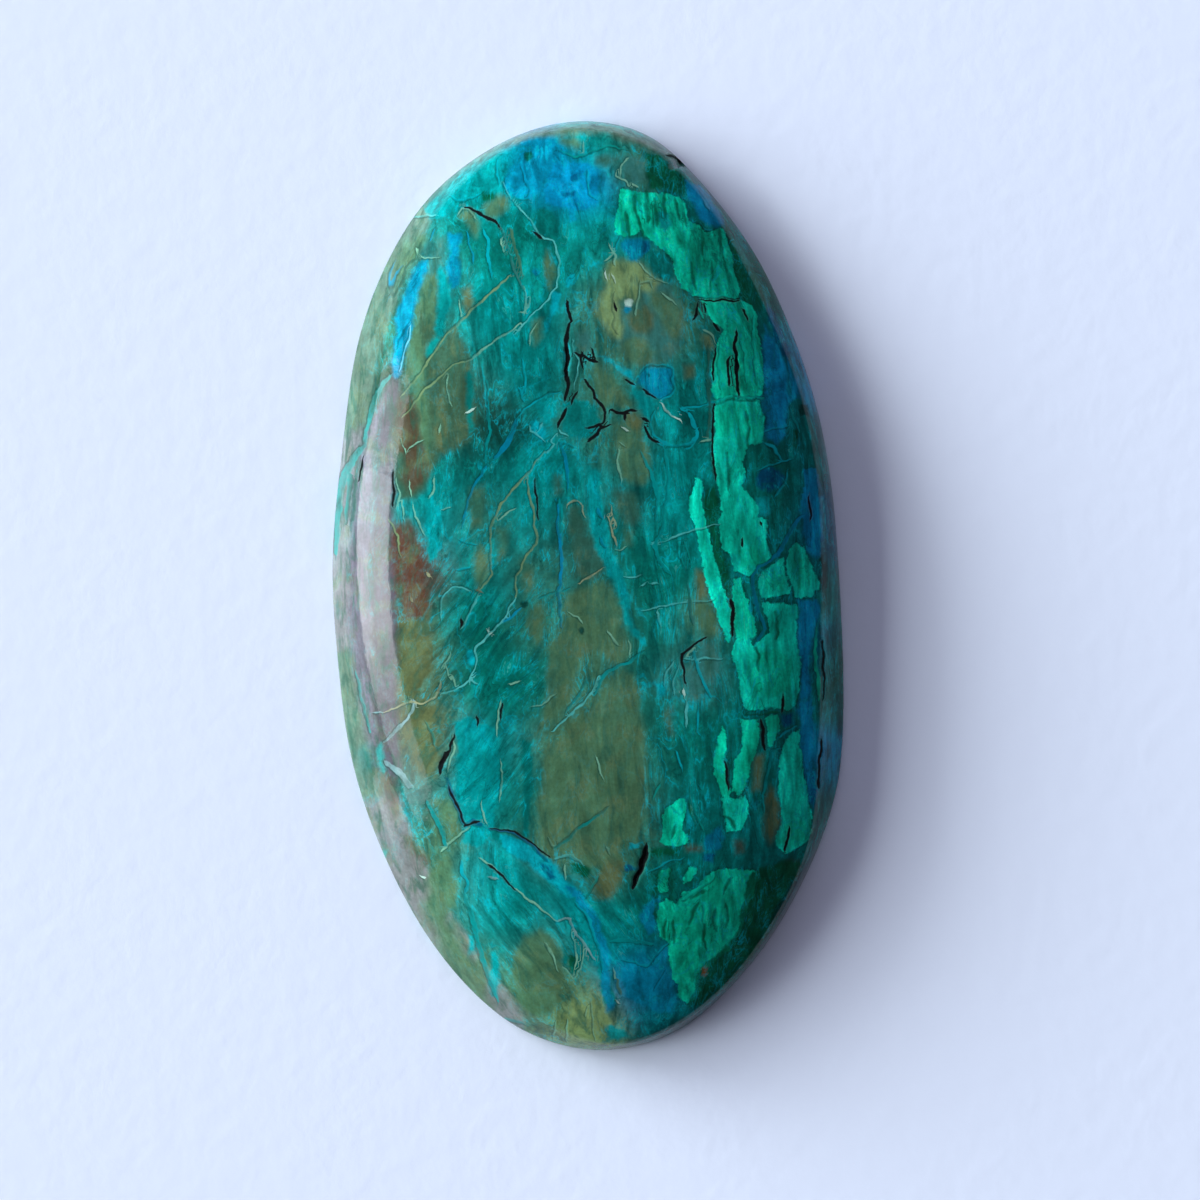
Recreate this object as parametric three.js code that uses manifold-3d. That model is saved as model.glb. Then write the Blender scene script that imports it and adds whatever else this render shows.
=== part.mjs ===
// A polished oval cabochon of chrysocolla, modelled as the one stone that it is.
// The flat back is ground level, a slanting girdle runs round it, and a low dome closes it on top.
// Fissures where the stone has opened are cut into the dome, and one chip into the girdle's edge.
// Millimetres, +Z up. The origin is at the middle of the back, +Y runs along the stone.

import * as THREE from 'three';
import { mergeVertices } from 'three/addons/utils/BufferGeometryUtils.js';
import Module from 'manifold-3d';

const wasm = await Module();
wasm.setup();

// Overall size
const WIDTH = 25.6;
const LENGTH = 46.5;
const HEIGHT = 4.3;

// The girdle: a narrow bevel at the back, then a wall that leans in as it rises to the ridge
const BACK_BEVEL_INSET = 0.3;
const BACK_BEVEL_RISE = 0.35;
const GIRDLE_TOP = 1.9;
const OVAL_INSET = 0.9;

// The dome is flat in its middle and rounds over near the ridge; 2 would be a plain parabola
const DOME_FLATNESS = 5;

// The hand-ground outline and the ridge where the girdle meets the dome, as points read by eye
// along them in a picture of 1200 by 1200 pixels. Both start at the right and run anticlockwise.
const EDGE_IN_PICTURE = [
  [844, 720], [840, 580], [830, 472], [814, 395], [788, 321], [753, 249], [697, 177], [652, 136], [603, 121],
  [555, 123], [497, 144], [430, 195], [387, 261], [358, 340], [343, 440], [332, 560], [337, 656], [351, 759],
  [381, 850], [429, 940], [480, 1000], [526, 1033], [594, 1051], [675, 1033], [749, 967], [804, 880], [837, 792],
];
const RIDGE_IN_PICTURE = [
  [823, 740], [827, 640], [826, 518], [818, 450], [800, 380], [775, 320], [745, 260], [716, 212], [668, 158],
  [632, 138], [590, 129], [540, 134], [484, 164], [437, 212], [406, 270], [385, 340], [368, 420], [354, 500],
  [351, 550], [357, 645], [368, 700], [385, 760], [412, 828], [450, 904], [492, 970], [530, 1013], [612, 1045],
  [669, 1029], [730, 983], [788, 900], [815, 830],
];
const PICTURE_MIDDLE = 600;
const MM_PER_PIXEL = 0.05;

// The picture looks down from a little above and to the left of the stone's middle
const EYE = new THREE.Vector3(-10.43, 10.48, 220);
const SIGHTED_POINT = new THREE.Vector3(0.57, -0.62, 0);
const STONE_AXIS = new THREE.Vector3(0, 1, 0);

// How finely the surface is faceted
const SEGMENTS_ROUND = 96;
const DOME_RINGS = 20;
const GIRDLE_RINGS = 2;
const SAMPLES_PER_CURVE = 720;
const SIGHT_STEPS = 4;

// Fissures where the stone has opened: width and depth in their middle, and their course in the picture
const FISSURES = [
  {
    // The long one above the middle, in two stretches
    width: 0.32,
    depth: 0.3,
    course: [
      [569, 299], [568, 309], [566, 322], [564, 332], [566, 344], [568, 356], [567, 370], [568, 382],
      [563, 399],
    ],
  },
  { width: 0.26, depth: 0.22, course: [[565, 405], [561, 415], [557, 426]] },
  {
    // Its branches to the right
    width: 0.24,
    depth: 0.2,
    course: [[583, 378], [589, 388], [594, 395], [598, 402], [606, 413]],
  },
  { width: 0.26, depth: 0.2, course: [[610, 409], [622, 413], [627, 416], [636, 410]] },
  { width: 0.24, depth: 0.18, course: [[623, 376], [634, 386], [645, 394], [657, 401]] },
  {
    // By the lower left shoulder
    width: 0.28,
    depth: 0.25,
    course: [[450, 733], [446, 748], [441, 762], [437, 778]],
  },
  { width: 0.24, depth: 0.2, course: [[450, 789], [457, 806], [463, 821], [468, 827]] },
  {
    // The short slash near the lower end
    width: 0.3,
    depth: 0.3,
    course: [[646, 843], [642, 858], [638, 870], [631, 890]],
  },
];
const FISSURE_END_WIDTH = 0.1;
const BLADE_REACH = 0.4;

// The chip: a shallow scoop out of the ridge at the upper right
const CHIP = { at: [681, 161], length: 1.3, breadth: 0.4, height: 0.4, turn: -0.46 };

const DEEP_TEAL = 0x0b7468;

// Outline and ridge

// Where the line of sight through a pixel meets a level of the stone
function pixelToPlan([px, py], level) {
  const view = new THREE.Matrix4().lookAt(EYE, SIGHTED_POINT, STONE_AXIS);
  const direction = new THREE.Vector3(
    (px - PICTURE_MIDDLE) * MM_PER_PIXEL,
    (PICTURE_MIDDLE - py) * MM_PER_PIXEL,
    -EYE.distanceTo(SIGHTED_POINT),
  ).transformDirection(view);
  const plane = new THREE.Plane(new THREE.Vector3(0, 0, 1), -level);
  return new THREE.Ray(EYE, direction).intersectPlane(plane, new THREE.Vector3());
}

// A smooth closed curve through the pixels, as one point for each of the skin's directions round the middle
function traceRing(pixels, level) {
  const points = pixels.map((pixel) => pixelToPlan(pixel, level));
  const curve = new THREE.CatmullRomCurve3(points, true, 'centripetal');
  const fine = curve.getSpacedPoints(SAMPLES_PER_CURVE);
  const ring = [];
  for (let i = 0; i < SEGMENTS_ROUND; i++) {
    const turn = (2 * Math.PI * i) / SEGMENTS_ROUND;
    const direction = new THREE.Vector2(WIDTH * Math.cos(turn), LENGTH * Math.sin(turn)).normalize();
    ring.push(direction.multiplyScalar(reachAlong(fine, direction)));
  }
  return ring;
}

// How far the curve is from the middle in a direction
function reachAlong(fine, direction) {
  for (let i = 1; i < fine.length; i++) {
    const from = new THREE.Vector2(fine[i - 1].x, fine[i - 1].y);
    const to = new THREE.Vector2(fine[i].x, fine[i].y);
    const before = direction.cross(from);
    const after = direction.cross(to);
    if (before <= 0 && after > 0 && direction.dot(from) > 0) {
      return from.lerp(to, before / (before - after)).length();
    }
  }
  throw new Error('the curve does not run round the middle');
}

const edgeRing = traceRing(EDGE_IN_PICTURE, BACK_BEVEL_RISE);
const ridgeRing = traceRing(RIDGE_IN_PICTURE, GIRDLE_TOP);
const edgeBox = new THREE.Box2().setFromPoints(edgeRing);
const middle = edgeBox.getCenter(new THREE.Vector2());

// Moves a ring so that the edge is centred on the origin at its exact width and length
function fitRing(ring) {
  const size = edgeBox.getSize(new THREE.Vector2());
  return ring.map((point) => new THREE.Vector2(
    ((point.x - middle.x) * WIDTH) / size.x,
    ((point.y - middle.y) * LENGTH) / size.y,
  ));
}

const edge = fitRing(edgeRing);
const ridge = fitRing(ridgeRing);

// The ring a share of the way up the girdle
function girdleRing(share) {
  const z = BACK_BEVEL_RISE + (GIRDLE_TOP - BACK_BEVEL_RISE) * share;
  return edge.map((point, i) => {
    const at = point.clone().lerp(ridge[i], share);
    return new THREE.Vector3(at.x, at.y, z);
  });
}

function backRing() {
  return edge.map((point) => {
    const inner = point.clone().setLength(point.length() - BACK_BEVEL_INSET);
    return new THREE.Vector3(inner.x, inner.y, 0);
  });
}

// Dome

function domeHeight(share) {
  return HEIGHT - (HEIGHT - GIRDLE_TOP) * Math.pow(share, DOME_FLATNESS);
}

// The plain oval that the dome's level rings turn into towards its middle
const ovals = ridge.map((point) => {
  const direction = point.clone().normalize();
  return 1 / Math.hypot(direction.x / (WIDTH / 2), direction.y / (LENGTH / 2)) - OVAL_INSET;
});

function domeRing(share) {
  const z = domeHeight(share);
  return ridge.map((point, i) => {
    const reach = share * THREE.MathUtils.lerp(ovals[i], point.length(), share);
    const at = point.clone().setLength(reach);
    return new THREE.Vector3(at.x, at.y, z);
  });
}

// Height of the dome above a plan point, from how far out between the middle and the ridge it lies
function domeHeightAt(x, y) {
  const point = new THREE.Vector2(x, y);
  const turnTo = (i) => Math.abs(Math.atan2(point.cross(ridge[i]), point.dot(ridge[i])));
  const nearest = [...ridge.keys()].reduce((best, i) => (turnTo(i) < turnTo(best) ? i : best));
  const oval = ovals[nearest];
  const spread = ridge[nearest].length() - oval;
  const share = (2 * point.length()) / (oval + Math.sqrt(oval * oval + 4 * spread * point.length()));
  return domeHeight(Math.min(1, share));
}

// Where the line of sight through a pixel meets the dome, closing in on its height
function pixelToDome(pixel) {
  let level = HEIGHT;
  let point = pixelToPlan(pixel, level);
  for (let i = 0; i < SIGHT_STEPS; i++) {
    level = domeHeightAt(point.x, point.y);
    point = pixelToPlan(pixel, level);
  }
  return point;
}

function stoneRings() {
  const rings = [backRing()];
  for (let i = 0; i <= GIRDLE_RINGS; i++) {
    rings.push(girdleRing(i / GIRDLE_RINGS));
  }
  for (let i = 1; i < DOME_RINGS; i++) {
    // Rings crowd towards the shoulder, where the dome bends most
    rings.push(domeRing(Math.cos((0.5 * Math.PI * i) / DOME_RINGS)));
  }
  return rings;
}

// A closed skin over stacked rings, with a point in the middle of each end
function skin(rings, bottom, top) {
  const count = rings[0].length;
  const vertices = [bottom, ...rings.flat(), top];
  const index = [];
  const at = (ring, i) => 1 + ring * count + (i % count);
  const last = rings.length - 1;
  for (let i = 0; i < count; i++) {
    index.push(0, at(0, i + 1), at(0, i));
    for (let ring = 0; ring < last; ring++) {
      index.push(at(ring, i), at(ring, i + 1), at(ring + 1, i + 1));
      index.push(at(ring, i), at(ring + 1, i + 1), at(ring + 1, i));
    }
    index.push(at(last, i), at(last, i + 1), vertices.length - 1);
  }
  const geometry = new THREE.BufferGeometry().setFromPoints(vertices);
  geometry.setIndex(index);
  return geometry;
}

function makeStone() {
  return skin(stoneRings(), new THREE.Vector3(0, 0, 0), new THREE.Vector3(0, 0, HEIGHT));
}

// Cutters

// A blade with a V section that follows a fissure's course just under the dome
function makeBlade({ course, width, depth }) {
  const stations = course.map(pixelToDome);
  const last = stations.length - 1;
  const sections = stations.map((station, i) => {
    const before = stations[Math.max(0, i - 1)];
    const after = stations[Math.min(last, i + 1)];
    const across = new THREE.Vector3(before.y - after.y, after.x - before.x, 0).normalize();
    const isEnd = i === 0 || i === last;
    const openWidth = isEnd ? FISSURE_END_WIDTH : width;
    const cutDepth = isEnd ? (depth * FISSURE_END_WIDTH) / width : depth;
    const half = (0.5 * openWidth * (BLADE_REACH + cutDepth)) / cutDepth;
    const crest = new THREE.Vector3(station.x, station.y, station.z + BLADE_REACH);
    return [
      crest.clone().addScaledVector(across, -half),
      new THREE.Vector3(station.x, station.y, station.z - cutDepth),
      crest.clone().addScaledVector(across, half),
    ];
  });
  const middleOf = (section) => section
    .reduce((sum, point) => sum.add(point), new THREE.Vector3())
    .divideScalar(section.length);
  return skin(sections, middleOf(sections[0]), middleOf(sections.at(-1)));
}

function makeChipCutter() {
  const middleOfChip = pixelToPlan(CHIP.at, GIRDLE_TOP);
  return new THREE.IcosahedronGeometry(1, 2)
    .scale(CHIP.length / 2, CHIP.breadth / 2, CHIP.height / 2)
    .rotateZ(CHIP.turn)
    .translate(middleOfChip.x, middleOfChip.y, GIRDLE_TOP);
}

// Boolean cuts

function toSolid(geometry) {
  const bare = geometry.clone();
  bare.deleteAttribute('normal');
  bare.deleteAttribute('uv');
  const merged = mergeVertices(bare, 1e-5);
  return new wasm.Manifold(new wasm.Mesh({
    numProp: 3,
    vertProperties: new Float32Array(merged.attributes.position.array),
    triVerts: new Uint32Array(merged.index.array),
  }));
}

function toGeometry(solid) {
  const mesh = solid.getMesh();
  const geometry = new THREE.BufferGeometry();
  geometry.setAttribute('position', new THREE.BufferAttribute(mesh.vertProperties, 3));
  geometry.setIndex(new THREE.BufferAttribute(mesh.triVerts, 1));
  geometry.computeVertexNormals();
  return geometry;
}

function cutStone() {
  let solid = toSolid(makeStone());
  for (const fissure of FISSURES) {
    solid = solid.subtract(toSolid(makeBlade(fissure)));
  }
  return toGeometry(solid.subtract(toSolid(makeChipCutter())));
}

const polishedChrysocolla = new THREE.MeshStandardMaterial({
  color: DEEP_TEAL,
  roughness: 0.22,
  metalness: 0,
});

const stone = new THREE.Mesh(cutStone(), polishedChrysocolla);
stone.name = 'cabochon';

const cabochon = new THREE.Group();
cabochon.add(stone);

export default cabochon;
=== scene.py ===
"""A polished oval cabochon of chrysocolla, lying dome up on pale paper.

The stone is one smooth closed skin, denser than the solid it replaces, and its edge and ridge come from that
solid. Its colours are painted on as listed shapes: soft washes, then ragged zones, patches, veins and
cracks. Each skin point keeps its depth inside an area and its distance from a line, and the material turns
those into edges.
"""

import bmesh
import bpy
import numpy as np
from mathutils import Matrix, Vector, noise


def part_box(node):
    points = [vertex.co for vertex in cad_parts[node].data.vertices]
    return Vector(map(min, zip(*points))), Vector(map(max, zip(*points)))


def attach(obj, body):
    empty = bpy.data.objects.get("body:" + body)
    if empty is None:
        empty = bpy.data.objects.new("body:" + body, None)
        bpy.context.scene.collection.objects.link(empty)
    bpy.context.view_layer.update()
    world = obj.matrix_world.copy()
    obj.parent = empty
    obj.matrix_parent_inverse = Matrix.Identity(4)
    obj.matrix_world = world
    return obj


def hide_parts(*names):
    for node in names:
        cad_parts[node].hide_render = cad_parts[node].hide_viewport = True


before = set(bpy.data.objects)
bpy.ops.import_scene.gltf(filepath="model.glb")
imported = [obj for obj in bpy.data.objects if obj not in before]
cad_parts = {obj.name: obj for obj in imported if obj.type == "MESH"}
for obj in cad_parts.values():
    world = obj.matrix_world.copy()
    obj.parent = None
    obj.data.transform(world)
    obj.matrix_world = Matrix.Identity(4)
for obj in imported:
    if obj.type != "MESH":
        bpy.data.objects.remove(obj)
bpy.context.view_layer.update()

MM = 0.001

# The view: the picture is a square of 1200 pixels, 0.05 mm each at the level of the stone's back
PICTURE_MIDDLE = 600
MM_PER_PIXEL = 0.05
EYE = Vector((-10.43, 10.48, 220.0))
SIGHTED_POINT = Vector((0.57, -0.62, 0.0))
SENSOR_MM = 36
NEAREST_SEEN = 0.01

# The stone's levels and curves, in millimetres, as in the solid
BEVEL_RISE = 0.35
BEVEL_INSET = 0.3
GIRDLE_TOP = 1.9
DOME_FLATNESS = 5
OVAL_INSET = 0.9
WIDTH, LENGTH, HEIGHT = (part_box("cabochon")[1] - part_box("cabochon")[0]) / MM
CHIP_PIXEL = (681, 161)
CHIP_REACH = (0.75, 0.28)
CHIP_TURN = -0.46
CHIP_DEPTH = 0.16

# How finely the skin is divided: cells of about an eighth of a millimetre on the dome, and wider ones behind.
# Then how the solid's rings are read, and how far, in millimetres, the corners between them are rounded.
DOME_CELLS = (205, 372)
BACK_CELLS = (75, 136)
LEVEL_TOLERANCE = 0.003
RING_SAMPLES = 1440
RING_SMOOTHING = 21
ROUNDING = 0.22
ROUNDING_STEPS = 4

# Zones wander by a few pixels from the shapes as drawn, and lean and change on their way to the back. A shape
# touches nothing that is further from it than the last of these, in pixels.
WANDER = ((34.0, 2.6), (12.0, 2.0), (5.0, 1.2))
WANDER_SEED = 7
LEAN_TO_BACK = (22.0, -14.0)
CHANGE_TO_BACK = ((120.0, 60.0), (40.0, 22.0))
FAR = 14.0

# Veins and cracks are lines, and so are the painted glint and shade lines among them: the share of the width
# given with each that it has, and the share of that at its tips. Then in pixels: its width past them, how far
# beyond its edge it is kept on the wide cells below the dome and on the dome's, and what stands for any
# further.
VEIN_WIDTH = 0.62
CRACK_WIDTH = 0.8
LINE_TIP = 0.45
LINE_END = 0.1
LINE_REACH = (10.0, 3.6)
ENDLESS = 1000.0

# Only cracks this wide, in pixels, stand open; their walls' slope and their depth in mm
OPEN_CRACK = 3.8
CRACK_STEEPNESS = 1.2
CRACK_DEPTH = 0.14

# Chrysocolla, from blue to green
NAVY = "#014A6A"
DEEP_BLUE = "#017AA0"
BLUE = "#01728E"
SKY = "#017C9A"
CYAN = "#01909A"
TURQUOISE = "#017F7E"
TEAL = "#01716C"
SEA_GREEN = "#047E74"
DEEP_TEAL = "#016155"
DARK_TEAL = "#015E58"
# Malachite
BRIGHT_MALACHITE = "#04B898"
MALACHITE = "#02AE88"
DARK_GREEN = "#024E34"
NIGHT = "#01302A"
# Host rock
MOSS = "#2C5E4B"
OLIVE = "#3E6246"
DARK_OLIVE = "#304C38"
KHAKI = "#6C8856"
UMBER = "#4C5838"
BROWN = "#44392A"
RED_BROWN = "#4C3428"
SLATE = "#2C6660"
BRONZE = "#275144"
# Partly painted reflection: greys for the left girdle, with the haze of the paper it mirrors
SAGE_AND_PAINTED_SHEEN = "#50695A"
SMOKE_AND_PAINTED_SHEEN = "#6C7072"
# Partly painted reflection: lavender-greys for the left shoulder, where the window shows in the polish
ASH_AND_PAINTED_SHEEN = "#5C5A66"
DUSK_AND_PAINTED_SHEEN = "#484650"
# Fillings of veins and fissures
PALE_SKY = "#5FB4C8"
PALE_CYAN = "#48A8A4"
PALE_GREEN = "#68A088"
DIM_CYAN = "#2E8580"
DIM_GREY = "#6E9496"
GOLD = "#64805A"
SAND = "#8A9270"
WHITE = "#A8CCC0"
BLACK = "#030A0C"
RUST = "#6A4420"

# Host rock, and the painted sheen of the left girdle and shoulder, shade softly into the chrysocolla, over
# this many pixels and by at most this much
ROCK_AND_SHEEN_COLOURS = (MOSS, OLIVE, DARK_OLIVE, KHAKI, UMBER, BROWN, RED_BROWN, SLATE, BRONZE, SAGE_AND_PAINTED_SHEEN, SMOKE_AND_PAINTED_SHEEN, ASH_AND_PAINTED_SHEEN, DUSK_AND_PAINTED_SHEEN)
ROCK_AND_SHEEN_SOFTNESS = 4.5
ROCK_AND_SHEEN_STRENGTH = 0.9
MALACHITES = (BRIGHT_MALACHITE, MALACHITE)

# The weight of the deep teal that shows where no wash reaches
LEAST_WEIGHT = 1e-6

# The fibres' turn, in radians, along the stone and slanting to the right and to the left, and their stretch
FIBRE_TURNS = (0.06, -0.62, 0.62)
FIBRE_STRETCH = (1.0, 4.0, 1.0)

# Where the fibres slant to the right as they rise, or to the left where negative: strength, place and reach
SLANTS = (
    (0.9, 470, 600, 95),
    (1.1, 470, 760, 90),
    (0.7, 540, 430, 60),
    (-1.0, 530, 930, 80),
    (-0.7, 625, 900, 60),
    (-0.5, 520, 250, 50),
    (-0.6, 700, 330, 60),
)

# Soft washes, the ground of the stone: colour, place in the picture and reach, all in pixels
WASHES = (
    # Top
    (TURQUOISE, 480, 178, 30),
    (BLUE, 540, 168, 28),
    (SEA_GREEN, 600, 138, 28),
    (MOSS, 640, 162, 26),
    (DARK_TEAL, 682, 185, 24),
    (SLATE, 428, 262, 28),
    (DEEP_TEAL, 462, 240, 26),
    (DARK_TEAL, 490, 215, 24),
    (DEEP_TEAL, 530, 262, 40),
    (DEEP_BLUE, 582, 186, 26),
    (SEA_GREEN, 598, 238, 34),
    (DEEP_TEAL, 690, 250, 44),
    (DARK_GREEN, 748, 285, 20),
    # Upper half
    (MOSS, 425, 335, 28),
    (DARK_OLIVE, 438, 400, 44),
    (TEAL, 500, 330, 46),
    (NIGHT, 481, 428, 30),
    (TEAL, 540, 350, 38),
    (MOSS, 588, 335, 20),
    (OLIVE, 640, 320, 42),
    (MOSS, 606, 390, 32),
    (TEAL, 660, 400, 38),
    (MOSS, 622, 442, 24),
    (DARK_TEAL, 692, 410, 26),
    (DEEP_TEAL, 740, 360, 40),
    (DEEP_BLUE, 784, 380, 30),
    (DARK_TEAL, 806, 440, 24),
    # Middle
    (SLATE, 348, 500, 30),
    (RED_BROWN, 410, 572, 34),
    (TURQUOISE, 438, 520, 28),
    (DARK_TEAL, 462, 480, 38),
    (TEAL, 500, 560, 44),
    (MOSS, 482, 522, 26),
    (MOSS, 530, 572, 26),
    (TEAL, 545, 500, 38),
    (BRONZE, 585, 542, 32),
    (DEEP_TEAL, 625, 545, 38),
    (TEAL, 662, 500, 44),
    (BRONZE, 630, 505, 18),
    (DEEP_TEAL, 742, 500, 48),
    (DEEP_TEAL, 790, 520, 28),
    (NAVY, 816, 520, 22),
    (UMBER, 414, 650, 32),
    (DEEP_TEAL, 466, 622, 34),
    (DEEP_TEAL, 500, 662, 46),
    (MOSS, 536, 625, 26),
    (OLIVE, 595, 630, 32),
    (DEEP_TEAL, 652, 620, 46),
    (SLATE, 692, 668, 30),
    (OLIVE, 705, 618, 20),
    (DEEP_TEAL, 766, 660, 46),
    (DEEP_BLUE, 807, 650, 18),
    (DARK_GREEN, 826, 660, 18),
    # Lower half
    (UMBER, 425, 742, 34),
    (SLATE, 388, 800, 34),
    (TURQUOISE, 482, 768, 38),
    (DEEP_TEAL, 524, 790, 26),
    (OLIVE, 592, 775, 52),
    (DEEP_TEAL, 668, 745, 42),
    (DARK_TEAL, 692, 800, 30),
    (DEEP_TEAL, 742, 770, 40),
    (DEEP_TEAL, 796, 800, 34),
    (DEEP_BLUE, 814, 765, 20),
    (TEAL, 742, 832, 32),
    (OLIVE, 447, 822, 22),
    # Foot
    (OLIVE, 440, 890, 30),
    (OLIVE, 470, 975, 30),
    (TURQUOISE, 476, 885, 28),
    (TEAL, 508, 932, 32),
    (OLIVE, 540, 980, 36),
    (TURQUOISE, 590, 930, 30),
    (KHAKI, 588, 1024, 30),
    (DEEP_TEAL, 628, 918, 36),
    (DEEP_BLUE, 646, 980, 32),
    (DEEP_TEAL, 702, 912, 46),
    (DARK_GREEN, 750, 935, 32),
    (NIGHT, 782, 900, 24),
    (MOSS, 610, 872, 22),
    (DARK_TEAL, 672, 1022, 30),
)

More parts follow.
